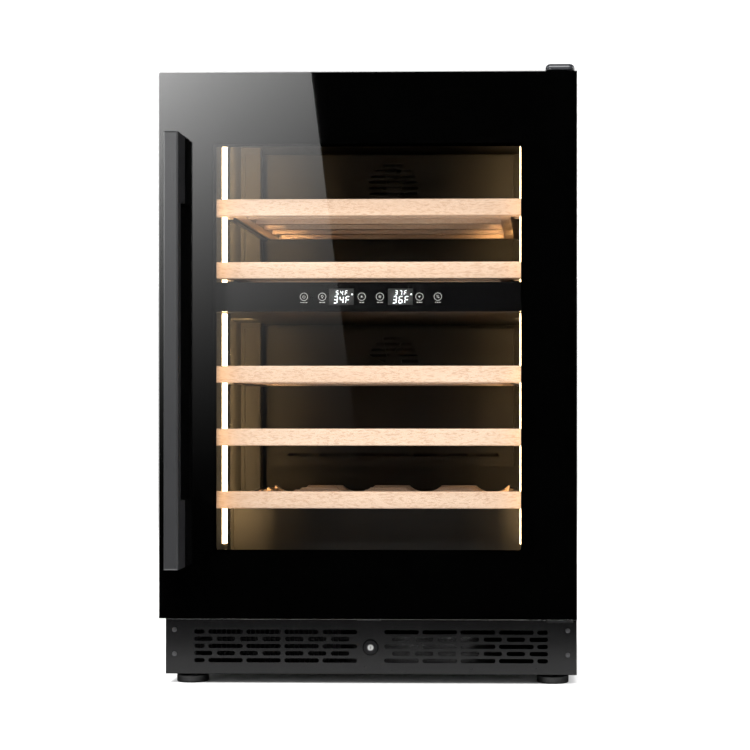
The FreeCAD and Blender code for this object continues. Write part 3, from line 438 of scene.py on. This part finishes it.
def pane(name, tint, mirror):
    finish = Finish(name)
    facing = finish.node("ShaderNodeLayerWeight", None, {"Blend": 0.5}, "Facing")
    reflects = mirror * (HEAD_ON + (1 - HEAD_ON) * facing ** 5)
    smear = finish.masked(finish.noise(70 * MM, detail=5.0), low=0.45, high=0.8)
    through = finish.node("ShaderNodeBsdfTransparent", None, {"Color": (*tint, 1.0)})
    sockets = {"Color": (1.0, 1.0, 1.0, 1.0), "Roughness": POLISH + HAZE * smear}
    back = finish.node("ShaderNodeBsdfGlossy", None, sockets)
    mixed = finish.node("ShaderNodeMixShader", None, {0: reflects, 1: through, 2: back})
    return finish.close(mixed)


dress(pane("smoked door glass", tint=(0.965, 0.965, 0.96), mirror=1.0), "outer_glass")
dress(pane("coated inner pane", tint=(0.985, 0.985, 0.98), mirror=0.12), "inner_glass")

# %% [markdown]
# ## The black print on the glass
# The wide black border of the door isn't a frame. It is ceramic ink fired onto the hidden side of
# the outer pane, with a second band on the inner pane, and the clear part left over is the window.
# Ink could be a mask in the glass material, but then its edge would have no place in the mesh. Here
# each band is a sheet of its own: a flat 3 by 3 grid whose middle face is taken out and whose lines
# are moved to the window's edges, thickened by an extrusion, with the window's corners rounded by a
# bevel. It sits inside the pane's own thickness, so that it never meets the frame behind it.

# %% Helpers for new pieces
SAME_PLACE = 0.001 * MM
GRID_HALF = 1.5


def new_piece(name, mesh_in_progress, finish, body):
    """Makes an object from a bmesh, dresses it and says what it rides on."""
    bmesh.ops.remove_doubles(mesh_in_progress, verts=mesh_in_progress.verts, dist=SAME_PLACE)
    bmesh.ops.recalc_face_normals(mesh_in_progress, faces=mesh_in_progress.faces)
    mesh = bpy.data.meshes.new(name)
    mesh_in_progress.to_mesh(mesh)
    mesh_in_progress.free()
    mesh.materials.append(finish.material)
    piece = bpy.data.objects.new(name, mesh)
    bpy.context.scene.collection.objects.link(piece)
    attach(piece, body)
    print(name, "has", len(mesh.polygons), "faces")
    return piece


def thickened(bm, thickness):
    """Gives a flat figure in the XY plane a thickness along +Z."""
    grown = bmesh.ops.extrude_face_region(bm, geom=bm.faces[:], use_keep_orig=True)
    raised = [part for part in grown["geom"] if isinstance(part, bmesh.types.BMVert)]
    bmesh.ops.translate(bm, verts=raised, vec=(0, 0, thickness))


def stood_up(bm, x, y, z, side=1):
    """Stands up a figure drawn in XY, its origin at (x, y, z); it faces the back if side is -1."""
    turn = Matrix.Diagonal((1, side, 1, 1)) @ Matrix.Rotation(math.pi / 2, 4, "X")
    bmesh.ops.transform(bm, matrix=Matrix.Translation((x, y, z)) @ turn, verts=bm.verts)


def mitred_ring(columns, rows):
    """A flat 3 by 3 grid, its lines at four columns and four rows, without its middle face."""
    bm = bmesh.new()
    bmesh.ops.create_grid(bm, x_segments=3, y_segments=3, size=GRID_HALF)
    for vert in bm.verts:
        vert.co.x = columns[round(vert.co.x + GRID_HALF)]
        vert.co.y = rows[round(vert.co.y + GRID_HALF)]
    middle = [face for face in bm.faces
              if columns[1] < face.calc_center_median().x < columns[2]
              and rows[1] < face.calc_center_median().y < rows[2]]
    bmesh.ops.delete(bm, geom=middle, context="FACES")
    return bm


# %% Bands of fired ink
INK_MARGIN = 0.5 * MM
INK_THICKNESS = 0.25 * MM
WINDOW_CORNER = 3 * MM
WINDOW_SILL = 0.1965
WINDOW_HEAD = 0.7715
OUTER_STEP = 2.5 * MM  # how far the outer window reaches past the inner one, above and below


def fired_ink():
    finish = Finish("fired ink")
    pinholes = finish.masked(finish.cells(0.8 * MM), low=0.0, high=0.05)
    cloud = finish.noise(40 * MM, detail=4.0)
    tone = finish.mix(cloud, (0.0002, 0.0002, 0.0002), (0.0005, 0.0005, 0.0005))
    return finish.principled(Base_Color=tone, Roughness=0.012 + 0.01 * pinholes,
                             Specular_IOR_Level=0.5, Normal=finish.bump(pinholes, 0.0005 * MM))


def ink_band(name, pane_node, window, depth):
    """A printed border; window is (half width, low, high), depth is from the pane's front."""
    low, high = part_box(pane_node)
    half, sill, head = window
    bm = mitred_ring((low.x + INK_MARGIN, -half, half, high.x - INK_MARGIN),
                     (low.z + INK_MARGIN, sill, head, high.z - INK_MARGIN))
    thickened(bm, INK_THICKNESS)
    corners = []
    for edge in bm.edges:
        first, second = (vert.co for vert in edge.verts)
        upright = abs(first.z - second.z) > INK_THICKNESS / 2
        if upright and abs(abs(first.x) - half) < MM and sill - MM < first.y < head + MM:
            corners.append(edge)
    bmesh.ops.bevel(bm, geom=corners, offset=WINDOW_CORNER, segments=5, profile=0.5,
                    affect="EDGES", material=-1)
    stood_up(bm, 0, low.y + depth + INK_THICKNESS, 0)
    new_piece(name, bm, ink, "door")


ink = fired_ink()
outer_window = (0.2200, WINDOW_SILL - OUTER_STEP, WINDOW_HEAD + OUTER_STEP)
inner_window = (0.2175, WINDOW_SILL, WINDOW_HEAD)
ink_band("outer_pane_print", "outer_glass", outer_window, depth=4.8 * MM)
ink_band("inner_pane_print", "inner_glass", inner_window, depth=3.8 * MM)

# %% [markdown]
# ## Strip lamps
# A strip of warm white lamps stands behind a frosted cover in each front corner of the liner. The
# cover glows evenly, with a faint rise of light at each lamp behind it. The glow is Emission Color,
# bright enough to burn white and to warm the liner beside it. Its strength is one number.

# %% Frosted covers with lamps behind them
HALF_LAMP_PITCH = 8 * MM
GLOW_AT_LAMP = (1.0, 0.80, 0.50)
GLOW_BETWEEN = (1.0, 0.68, 0.34)


def strip_lamp(strength):
    finish = Finish("strip lamp cover")
    pitch = finish.zigzag(finish.axis("Z"), HALF_LAMP_PITCH) * (1 / HALF_LAMP_PITCH)
    glow = finish.mix(finish.masked(pitch, low=0.1, high=0.9), GLOW_AT_LAMP, GLOW_BETWEEN)
    frost = 0.5 + 0.1 * finish.noise(0.6 * MM)
    return finish.principled(Base_Color=(0.8, 0.76, 0.68, 1.0), Roughness=frost,
                             Emission_Color=glow, Emission_Strength=strength,
                             Normal=finish.bump(finish.noise(0.8 * MM), 0.03 * MM))


dress(strip_lamp(strength=9.0), "led_diffusers")

# %% [markdown]
# ## Numbers on the displays
# Each zone has a small dark display with the set temperature over the measured one. Text objects
# would need a font, and lit numbers aren't letters anyway: each is up to seven bars. One bar is a
# six sided circle pulled long, so a loop over the lit bars of each figure draws any number. The
# whole figure leans a little, as such displays do. The lit bars are white and the display behind
# them is smoked acrylic with a glow around its middle.

# %% Smoked displays and lit bars
display_low, display_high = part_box("display_modules")
DISPLAY_WIDTH = 36 * MM
DISPLAY_HEIGHT = display_high.z - display_low.z
DISPLAY_X = display_high.x - DISPLAY_WIDTH / 2
DISPLAY_Z = (display_low.z + display_high.z) / 2
HALO_REACH = 1.3


def smoked_display():
    finish = Finish("smoked display")
    side = finish.node("ShaderNodeMath", {"operation": "ABSOLUTE"}, {0: finish.axis("X")})
    across = (side - DISPLAY_X) / (DISPLAY_WIDTH / 2)
    up = (finish.axis("Z") - DISPLAY_Z) / (DISPLAY_HEIGHT / 2)
    away = across ** 2.0 + up ** 2.0
    halo = finish.masked(HALO_REACH - away, low=0.0, high=HALO_REACH)
    tone = finish.mix(finish.noise(2 * MM), (0.022, 0.022, 0.022), (0.03, 0.03, 0.03))
    glow = finish.mix(halo, (0.006, 0.006, 0.006), (0.05, 0.05, 0.05))
    return finish.principled(Base_Color=tone, Roughness=0.2 + 0.05 * finish.noise(3 * MM),
                             Emission_Color=glow, Emission_Strength=1.0)


def lit_white(name, colour, strength):
    finish = Finish(name)
    patch = finish.noise(1.5 * MM)
    tone = finish.mix(patch, shade(colour, 0.85), colour)
    return finish.principled(Base_Color=tone, Roughness=0.4 + 0.1 * patch,
                             Emission_Color=tone, Emission_Strength=strength)


dress(smoked_display(), "display_modules")
figure_white = lit_white("lit figure", (0.9, 0.95, 1.0), strength=1.6)
print("displays stand at", round(DISPLAY_X / MM, 1), "mm left and right of the middle")

# %% Figures made of seven bars
LIT_BARS = {"3": "abcdg", "4": "bcfg", "5": "acdfg", "6": "acdefg", "7": "abc", "F": "aefg"}
BAR_PLACES = {"a": (0, 1, 0), "b": (0.5, 0.5, 1), "c": (0.5, -0.5, 1), "d": (0, -1, 0),
              "e": (-0.5, -0.5, 1), "f": (-0.5, 0.5, 1), "g": (0, 0, 0)}
LEAN = math.tan(math.radians(8))
BAR_GAP = 0.3
PRINT_THICKNESS = 0.12 * MM
FIGURES_SUNK = 0.02 * MM
DOT_RADIUS = 1.25 * MM
DOT_PLACE = (15.6 * MM, 3.4 * MM, 0)
ROUND = 20
# x of the first figure, step to the next, y, height and thickness of a bar, in mm
UPPER_ROW = (-6.0, 6.6, 5.6, 6.0, 1.0)
LOWER_ROW = (-8.2, 8.6, -4.4, 9.4, 1.5)


def add_bar(bm, x, y, length, thick, upright):
    """A six sided bar, centred at (x, y), pointed at both ends."""
    made = bmesh.ops.create_circle(bm, cap_ends=True, segments=6, radius=thick / 2)["verts"]
    for vert in made:
        vert.co.y += math.copysign((length - thick) / 2, vert.co.y)
    turn = Matrix.Identity(4) if upright else Matrix.Rotation(math.pi / 2, 4, "Z")
    bmesh.ops.transform(bm, matrix=Matrix.Translation((x, y, 0)) @ turn, verts=made)


def add_figure(bm, character, x, y, height, thick):
    width = height / 2
    for bar in LIT_BARS[character]:
        right, up, upright = BAR_PLACES[bar]
        bar_x = x + right * width
        bar_y = y + up * height / 2
        slanted_x = bar_x + LEAN * (bar_y - y)
        add_bar(bm, slanted_x, bar_y, width - thick * BAR_GAP, thick, upright)


def display_figures(name, x, upper, lower):
    bm = bmesh.new()
    for text, row in ((upper, UPPER_ROW), (lower, LOWER_ROW)):
        first, step, y, height, thick = (size * MM for size in row)
        for place, character in enumerate(text):
            add_figure(bm, character, first + place * step, y, height, thick)
    dot = bmesh.ops.create_circle(bm, cap_ends=True, segments=ROUND, radius=DOT_RADIUS)["verts"]
    bmesh.ops.translate(bm, verts=dot, vec=DOT_PLACE)
    thickened(bm, PRINT_THICKNESS)
    stood_up(bm, x, display_low.y + FIGURES_SUNK, DISPLAY_Z)
    new_piece(name, bm, figure_white, "cabinet")


display_figures("display_figures_left", -DISPLAY_X, upper="54F", lower="34F")
display_figures("display_figures_right", DISPLAY_X, upper="37F", lower="36F")

# %% [markdown]
# ## Signs on the touch keys
# Every key is a flush disc with a printed ring, a small sign in the ring and a caption under it.
# The signs are simple strokes: a ring is two circles bridged, an arc is a ring with the faces in its
# gap removed, and a stroke is a stretched square. The captions are rows of short dashes that stand
# for small print and spell nothing. All of it is grey ink a tenth of a millimetre thick.

# %% Printed strokes
RING_SEGMENTS = 40


def add_ring(bm, radius, width, x=0.0, y=0.0, gap=0.0):
    """A flat ring; gap is the angle in radians left open at its top."""
    loops = []
    for size in (radius - width / 2, radius + width / 2):
        made = bmesh.ops.create_circle(bm, segments=RING_SEGMENTS, radius=size)["verts"]
        bmesh.ops.translate(bm, verts=made, vec=(x, y, 0))
        loops += {edge for vert in made for edge in vert.link_edges}
    faces = bmesh.ops.bridge_loops(bm, edges=loops)["faces"]
    opened = []
    for face in faces:
        middle = face.calc_center_median()
        if abs(math.atan2(middle.x - x, middle.y - y)) < gap / 2:
            opened.append(face)
    bmesh.ops.delete(bm, geom=opened, context="FACES")


def add_stroke(bm, length, width, x=0.0, y=0.0, angle=0.0):
    made = bmesh.ops.create_grid(bm, x_segments=1, y_segments=1, size=0.5)["verts"]
    place = Matrix.Translation((x, y, 0)) @ Matrix.Rotation(angle, 4, "Z")
    bmesh.ops.transform(bm, matrix=place @ Matrix.Diagonal((length, width, 1, 1)), verts=made)


def add_disc(bm, radius, x=0.0, y=0.0, segments=ROUND, turn=0.0):
    made = bmesh.ops.create_circle(bm, cap_ends=True, segments=segments, radius=radius)["verts"]
    place = Matrix.Translation((x, y, 0)) @ Matrix.Rotation(turn, 4, "Z")
    bmesh.ops.transform(bm, matrix=place, verts=made)


# %% The six signs
def power_sign(bm):
    add_ring(bm, radius=1.9 * MM, width=0.55 * MM, y=-0.2 * MM, gap=1.4)
    add_stroke(bm, length=0.55 * MM, width=2.0 * MM, y=1.3 * MM)


def lamp_sign(bm):
    add_ring(bm, radius=1.5 * MM, width=0.5 * MM, y=0.7 * MM)
    for drop in (-1.3, -2.1):
        add_stroke(bm, length=1.5 * MM, width=0.45 * MM, y=drop * MM)


def arrow_sign(turn):
    def draw(bm):
        add_disc(bm, radius=2.1 * MM, segments=3, turn=turn)
    return draw


def scale_sign(bm):
    add_ring(bm, radius=0.8 * MM, width=0.4 * MM, x=-1.2 * MM, y=1.2 * MM)
    add_stroke(bm, length=4.6 * MM, width=0.45 * MM, angle=math.radians(52))
    add_disc(bm, radius=0.9 * MM, x=1.3 * MM, y=-1.2 * MM)


def zone_sign(bm):
    add_ring(bm, radius=1.6 * MM, width=0.5 * MM)
    add_disc(bm, radius=0.75 * MM)


# %% Print on the six keys
KEY_PLACES = (-97.0 * MM, -70.4 * MM, -13.2 * MM, 13.2 * MM, 70.4 * MM, 97.0 * MM)
KEY_SIGNS = (power_sign, lamp_sign, arrow_sign(0.0), zone_sign, arrow_sign(math.pi), scale_sign)
# the lengths in mm of the dashes under each key
CAPTIONS = ((1.8, 2.6, 1.4, 2.2), (2.4, 1.6, 2.8), (2.6, 3.4),
            (3.0, 1.6, 2.4), (2.0, 3.2, 1.4), (1.6, 2.8, 2.0))
DASH_GAP = 0.7
DASH_HEIGHT = 1.1 * MM
CAPTION_Y = -8.2 * MM
KEYS_SUNK = 0.04 * MM
key_ink = lit_white("key ink", (0.50, 0.50, 0.49), strength=0.12)


def key_print(number, x, sign, dashes):
    bm = bmesh.new()
    add_ring(bm, radius=5.4 * MM, width=0.7 * MM)
    sign(bm)
    reach = -(sum(dashes) + DASH_GAP * (len(dashes) - 1)) / 2
    for dash in dashes:
        add_stroke(bm, dash * MM, DASH_HEIGHT, x=(reach + dash / 2) * MM, y=CAPTION_Y)
        reach += dash + DASH_GAP
    thickened(bm, PRINT_THICKNESS)
    fascia_low, fascia_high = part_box("control_fascia")
    stood_up(bm, x, fascia_low.y + KEYS_SUNK, (fascia_low.z + fascia_high.z) / 2)
    new_piece(f"key_print_{number}", bm, key_ink, "cabinet")


for number, (x, sign, dashes) in enumerate(zip(KEY_PLACES, KEY_SIGNS, CAPTIONS), start=1):
    key_print(number, x, sign, dashes)

# %% [markdown]
# ## The door seal
# The seal is a soft black extrusion around the back of the door: a flat foot in a groove, two folded
# walls that squeeze together, and a lip with a magnetic strip inside that pulls the door shut. The
# CAD part has only a plain ring for it. A profile swept along a path would need its corners mended,
# so this one starts as a flat mitred ring, the same 3 by 3 grid, and grows out of the door by insets:
# each one steps the whole ring sideways and up, so every fold meets exactly at the mitres.

# %% Folded seal
SEAL_WIDTH = 20 * MM
SEAL_FOOT = 0.12  # the foot's share of the seal's depth
# each fold's step inwards in mm, and its rise as a share of the seal's depth
SEAL_FOLDS = ((0.4, 0.0), (1.6, 0.16), (-1.5, 0.16), (1.5, 0.16), (-1.1, 0.16), (0.2, 0.14),
              (0.9, 0.10), (4.0, 0.0), (0.4, -0.06))
FACES_UP = 0.9
TOP_WITHIN = 0.01 * MM


def seal_rubber():
    finish = Finish("seal rubber")
    bloom = finish.masked(finish.noise(30 * MM, detail=5.0), low=0.45, high=0.8)
    fine = finish.noise(0.4 * MM)
    tone = finish.mix(bloom, (0.012, 0.012, 0.012), (0.026, 0.026, 0.025))
    return finish.principled(Base_Color=tone, Roughness=0.55 + 0.2 * bloom,
                             Specular_IOR_Level=0.35, Normal=finish.bump(fine, 0.03 * MM))


def door_seal():
    low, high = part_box("door_gasket")
    depth = high.y - low.y
    bm = mitred_ring((low.x, low.x + SEAL_WIDTH, high.x - SEAL_WIDTH, high.x),
                     (low.z, low.z + SEAL_WIDTH, high.z - SEAL_WIDTH, high.z))
    thickened(bm, SEAL_FOOT * depth)
    for step_in, rise in SEAL_FOLDS:
        height = max(vert.co.z for vert in bm.verts)
        top = [face for face in bm.faces if face.normal.z > FACES_UP
               and face.calc_center_median().z > height - TOP_WITHIN]
        bmesh.ops.inset_region(bm, faces=top, thickness=step_in * MM, depth=rise * depth,
                               use_boundary=True, use_even_offset=True)
        bm.normal_update()
    stood_up(bm, 0, low.y, 0, side=-1)
    seal = new_piece("folded_door_seal", bm, seal_rubber(), "door")
    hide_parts("door_gasket")


door_seal()

# %% [markdown]
# ## The camera
# A long lens from a little right of the door and just under half its height shows the door almost
# square on. The camera looks level, turned a little to the left, and a lens shift slides the view
# sideways and up without slanting any upright line. The lens is worked out from the share of the
# view's width that a metre of the door fills at the camera's distance.

# %% Camera
door_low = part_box("outer_glass")[0]
CAMERA_X = 0.250
CAMERA_Z = 0.398
CAMERA_DISTANCE = 2.726
CAMERA_TURN = math.radians(1.56)
SHIFT_X = -0.155
SHIFT_Y = 0.0447
SENSOR = 36.0
VIEW_SHARE_PER_METRE = 0.944


def add_camera():
    data = bpy.data.cameras.new("camera")
    data.sensor_width = SENSOR
    data.lens = VIEW_SHARE_PER_METRE * CAMERA_DISTANCE * SENSOR
    data.shift_x = SHIFT_X
    data.shift_y = SHIFT_Y
    camera = bpy.data.objects.new("camera", data)
    camera.location = (CAMERA_X, door_low.y - CAMERA_DISTANCE, CAMERA_Z)
    camera.rotation_euler = (math.radians(90), 0, CAMERA_TURN)
    bpy.context.scene.collection.objects.link(camera)
    bpy.context.scene.camera = camera
    print("lens", round(data.lens, 1), "mm")


add_camera()

# %% [markdown]
# ## Floor and studio
# The studio is white all round, with one large soft lamp above and in front, a softer one on each
# side and a low one behind, so that every side of the cooler can be looked at. The black glass is a
# mirror, and a real studio keeps its white walls out of it with black cloth and lets in one white
# card. Here the white world and the floor are hidden from mirror-like rays, apart from an apron of
# floor close to the door, which the kick panel reflects but the door doesn't. The card is a plane
# beside the camera that only mirror rays see. Its light fades down and to the right in its material.

# %% Floor
FLOOR_REACH = 12
APRON_WIDTH = 2.4
APRON_REACH = 0.30
APRON_UNDER_DOOR = 0.05
APRON_HEIGHT = 0.1 * MM


def pale_floor():
    finish = Finish("pale floor")
    cloud = finish.noise(0.4, detail=3.0)
    tone = finish.mix(cloud, (0.93, 0.93, 0.93), (0.95, 0.95, 0.95))
    return finish.principled(Base_Color=tone, Roughness=0.7 + 0.1 * cloud, Specular_IOR_Level=0.0)


def studio_plane(name, bm, finish):
    """Makes an object of the studio, which isn't part of the cooler, from a bmesh."""
    mesh = bpy.data.meshes.new(name)
    bm.to_mesh(mesh)
    bm.free()
    mesh.materials.append(finish.material)
    plane = bpy.data.objects.new(name, mesh)
    bpy.context.scene.collection.objects.link(plane)
    return plane


def flat_plane(name, finish, width, near, far, height):
    """A level plane across the middle, from near to far along Y."""
    bm = bmesh.new()
    bmesh.ops.create_grid(bm, x_segments=1, y_segments=1, size=0.5)
    middle = Matrix.Translation((0, (near + far) / 2, height))
    size = Matrix.Diagonal((width, far - near, 1, 1))
    bmesh.ops.transform(bm, matrix=middle @ size, verts=bm.verts)
    return studio_plane(name, bm, finish)


floor_finish = pale_floor()
floor = flat_plane("floor", floor_finish, 2 * FLOOR_REACH, -FLOOR_REACH, FLOOR_REACH, 0)
floor.visible_glossy = False
apron = flat_plane("floor_apron", floor_finish, APRON_WIDTH, door_low.y - APRON_REACH,
                   door_low.y + APRON_UNDER_DOOR, APRON_HEIGHT)

# %% The card that the glass mirrors
CARD_TOP = 1.6
CARD_FOOT = 0.02
CARD_LEFT = -1.5
CARD_STRENGTH = 3.95
CARD_FADE_END = -0.02
CARD_FADE_POWER = 3.15
CARD_SIDE_FADE = 2.0
CARD_HEIGHT_OF_ONE = 1.338
CARD_X_OF_ONE = -0.726
EDGE_ON_DOOR = ((-0.0798, 0.876), (-0.0351, 0.5146))


def card_light():
    """Emission that fades downwards as a power of the height, and slowly to the right."""
    finish = Finish("white card")
    height = (finish.axis("Z") - CARD_FADE_END) / (CARD_HEIGHT_OF_ONE - CARD_FADE_END)
    side = math.e ** (-CARD_SIDE_FADE * (finish.axis("X") - CARD_X_OF_ONE))
    light = CARD_STRENGTH * side * height ** CARD_FADE_POWER
    return finish.close(finish.node("ShaderNodeEmission", None, {"Strength": light}))


def add_card():
    """A plane in the camera's own plane, whose right edge leans as the mirrored edge does."""
    bm = bmesh.new()
    bmesh.ops.create_grid(bm, x_segments=1, y_segments=1, size=0.5)
    mirrored = [(2 * x - CAMERA_X, 2 * z - CAMERA_Z) for x, z in EDGE_ON_DOOR]
    (high_x, high_z), (low_x, low_z) = mirrored
    slope = (high_x - low_x) / (high_z - low_z)
    for vert in bm.verts:
        z = CARD_TOP if vert.co.y > 0 else CARD_FOOT
        vert.co.x = CARD_LEFT if vert.co.x < 0 else low_x + slope * (z - low_z)
        vert.co.y = z
    stood_up(bm, 0, door_low.y - CAMERA_DISTANCE, 0)
    card = studio_plane("card", bm, card_light())
    card.visible_camera = False
    card.visible_diffuse = False
    card.visible_shadow = False
    card.visible_transmission = False
    return card


card = add_card()

# %% Studio lamps
STUDIO_AIM = (0, 0, 0.5)
# name, place, width, height, watts
STUDIO_LAMPS = (
    ("key", (-0.5, -2.3, 2.9), 2.4, 1.4, 170),
    ("left side", (-2.8, -0.4, 1.5), 1.6, 1.6, 45),
    ("right side", (2.8, 0.2, 1.5), 1.6, 1.6, 45),
    ("back", (0.4, 3.0, 1.8), 1.8, 1.4, 30),
)


def soft_lamp(name, place, aim, width, height, power):
    data = bpy.data.lights.new(name, "AREA")
    data.shape = "RECTANGLE"
    data.size = width
    data.size_y = height
    data.energy = power
    lamp = bpy.data.objects.new(name, data)
    lamp.location = place
    lamp.rotation_euler = (Vector(aim) - Vector(place)).to_track_quat("-Z", "Y").to_euler()
    bpy.context.scene.collection.objects.link(lamp)
    return lamp


lamps = [soft_lamp(name, place, STUDIO_AIM, width, height, power)
         for name, place, width, height, power in STUDIO_LAMPS]

# %% [markdown]
# ## Light inside the zones
# The strips glow, but a strip a few millimetres wide lights a room only through a lot of noise. So
# each strip has three hidden lamps of its own warm colour in each zone: a strong one turned to the
# side wall, a narrow one aimed along the wall at the back, and a faint one at the ends of the shelf
# fronts. Together they wash the liner the way the real strip does. The camera and mirror rays don't
# see them.

# %% Hidden lamps beside the strips
WASH_WIDTH = 8 * MM
WASH_COLOUR = (1.0, 0.66, 0.30)
# each zone's low and high end, and how much light goes to its back wall
ZONES = ((0.200, 0.537, 0.7), (0.582, 0.822, 1.3))
TO_SIDE_WALL = 7.0
TO_SHELF_FRONTS = 0.12
WIDE = math.radians(150)
NARROW = math.radians(50)


def strip_wash(side, place, aim, low, high, power, spread):
    """place and aim are (x, y) on the right; power is watts per metre of the strip."""
    middle = (low + high) / 2
    start = (side * place[0], place[1], middle)
    end = (side * aim[0], aim[1], middle)
    lamp = soft_lamp("strip wash", start, end, WASH_WIDTH, high - low, power * (high - low))
    lamp.data.spread = spread
    lamp.data.color = WASH_COLOUR
    lamp.visible_camera = False
    lamp.visible_glossy = False
    return lamp


for side in (-1, 1):
    for low, high, to_back_wall in ZONES:
        for place, aim, power, spread in (
                ((0.206, 0.020), (0.247, 0.050), TO_SIDE_WALL, WIDE),
                ((0.209, -0.140), (0.232, 0.250), to_back_wall, NARROW),
                ((0.224, -0.206), (0.200, -0.1915), TO_SHELF_FRONTS, WIDE)):
            lamps.append(strip_wash(side, place, aim, low, high, power, spread))


# %% The white world
WHITE = (1, 1, 1, 1)
WORLD_STRENGTH = 1.15


def white_world():
    world = bpy.data.worlds.new("white studio")
    world.use_nodes = True
    background = world.node_tree.nodes["Background"]
    background.inputs["Color"].default_value = WHITE
    background.inputs["Strength"].default_value = WORLD_STRENGTH
    world.cycles_visibility.glossy = False
    bpy.context.scene.world = world


white_world()
bpy.context.scene.view_settings.view_transform = "Standard"
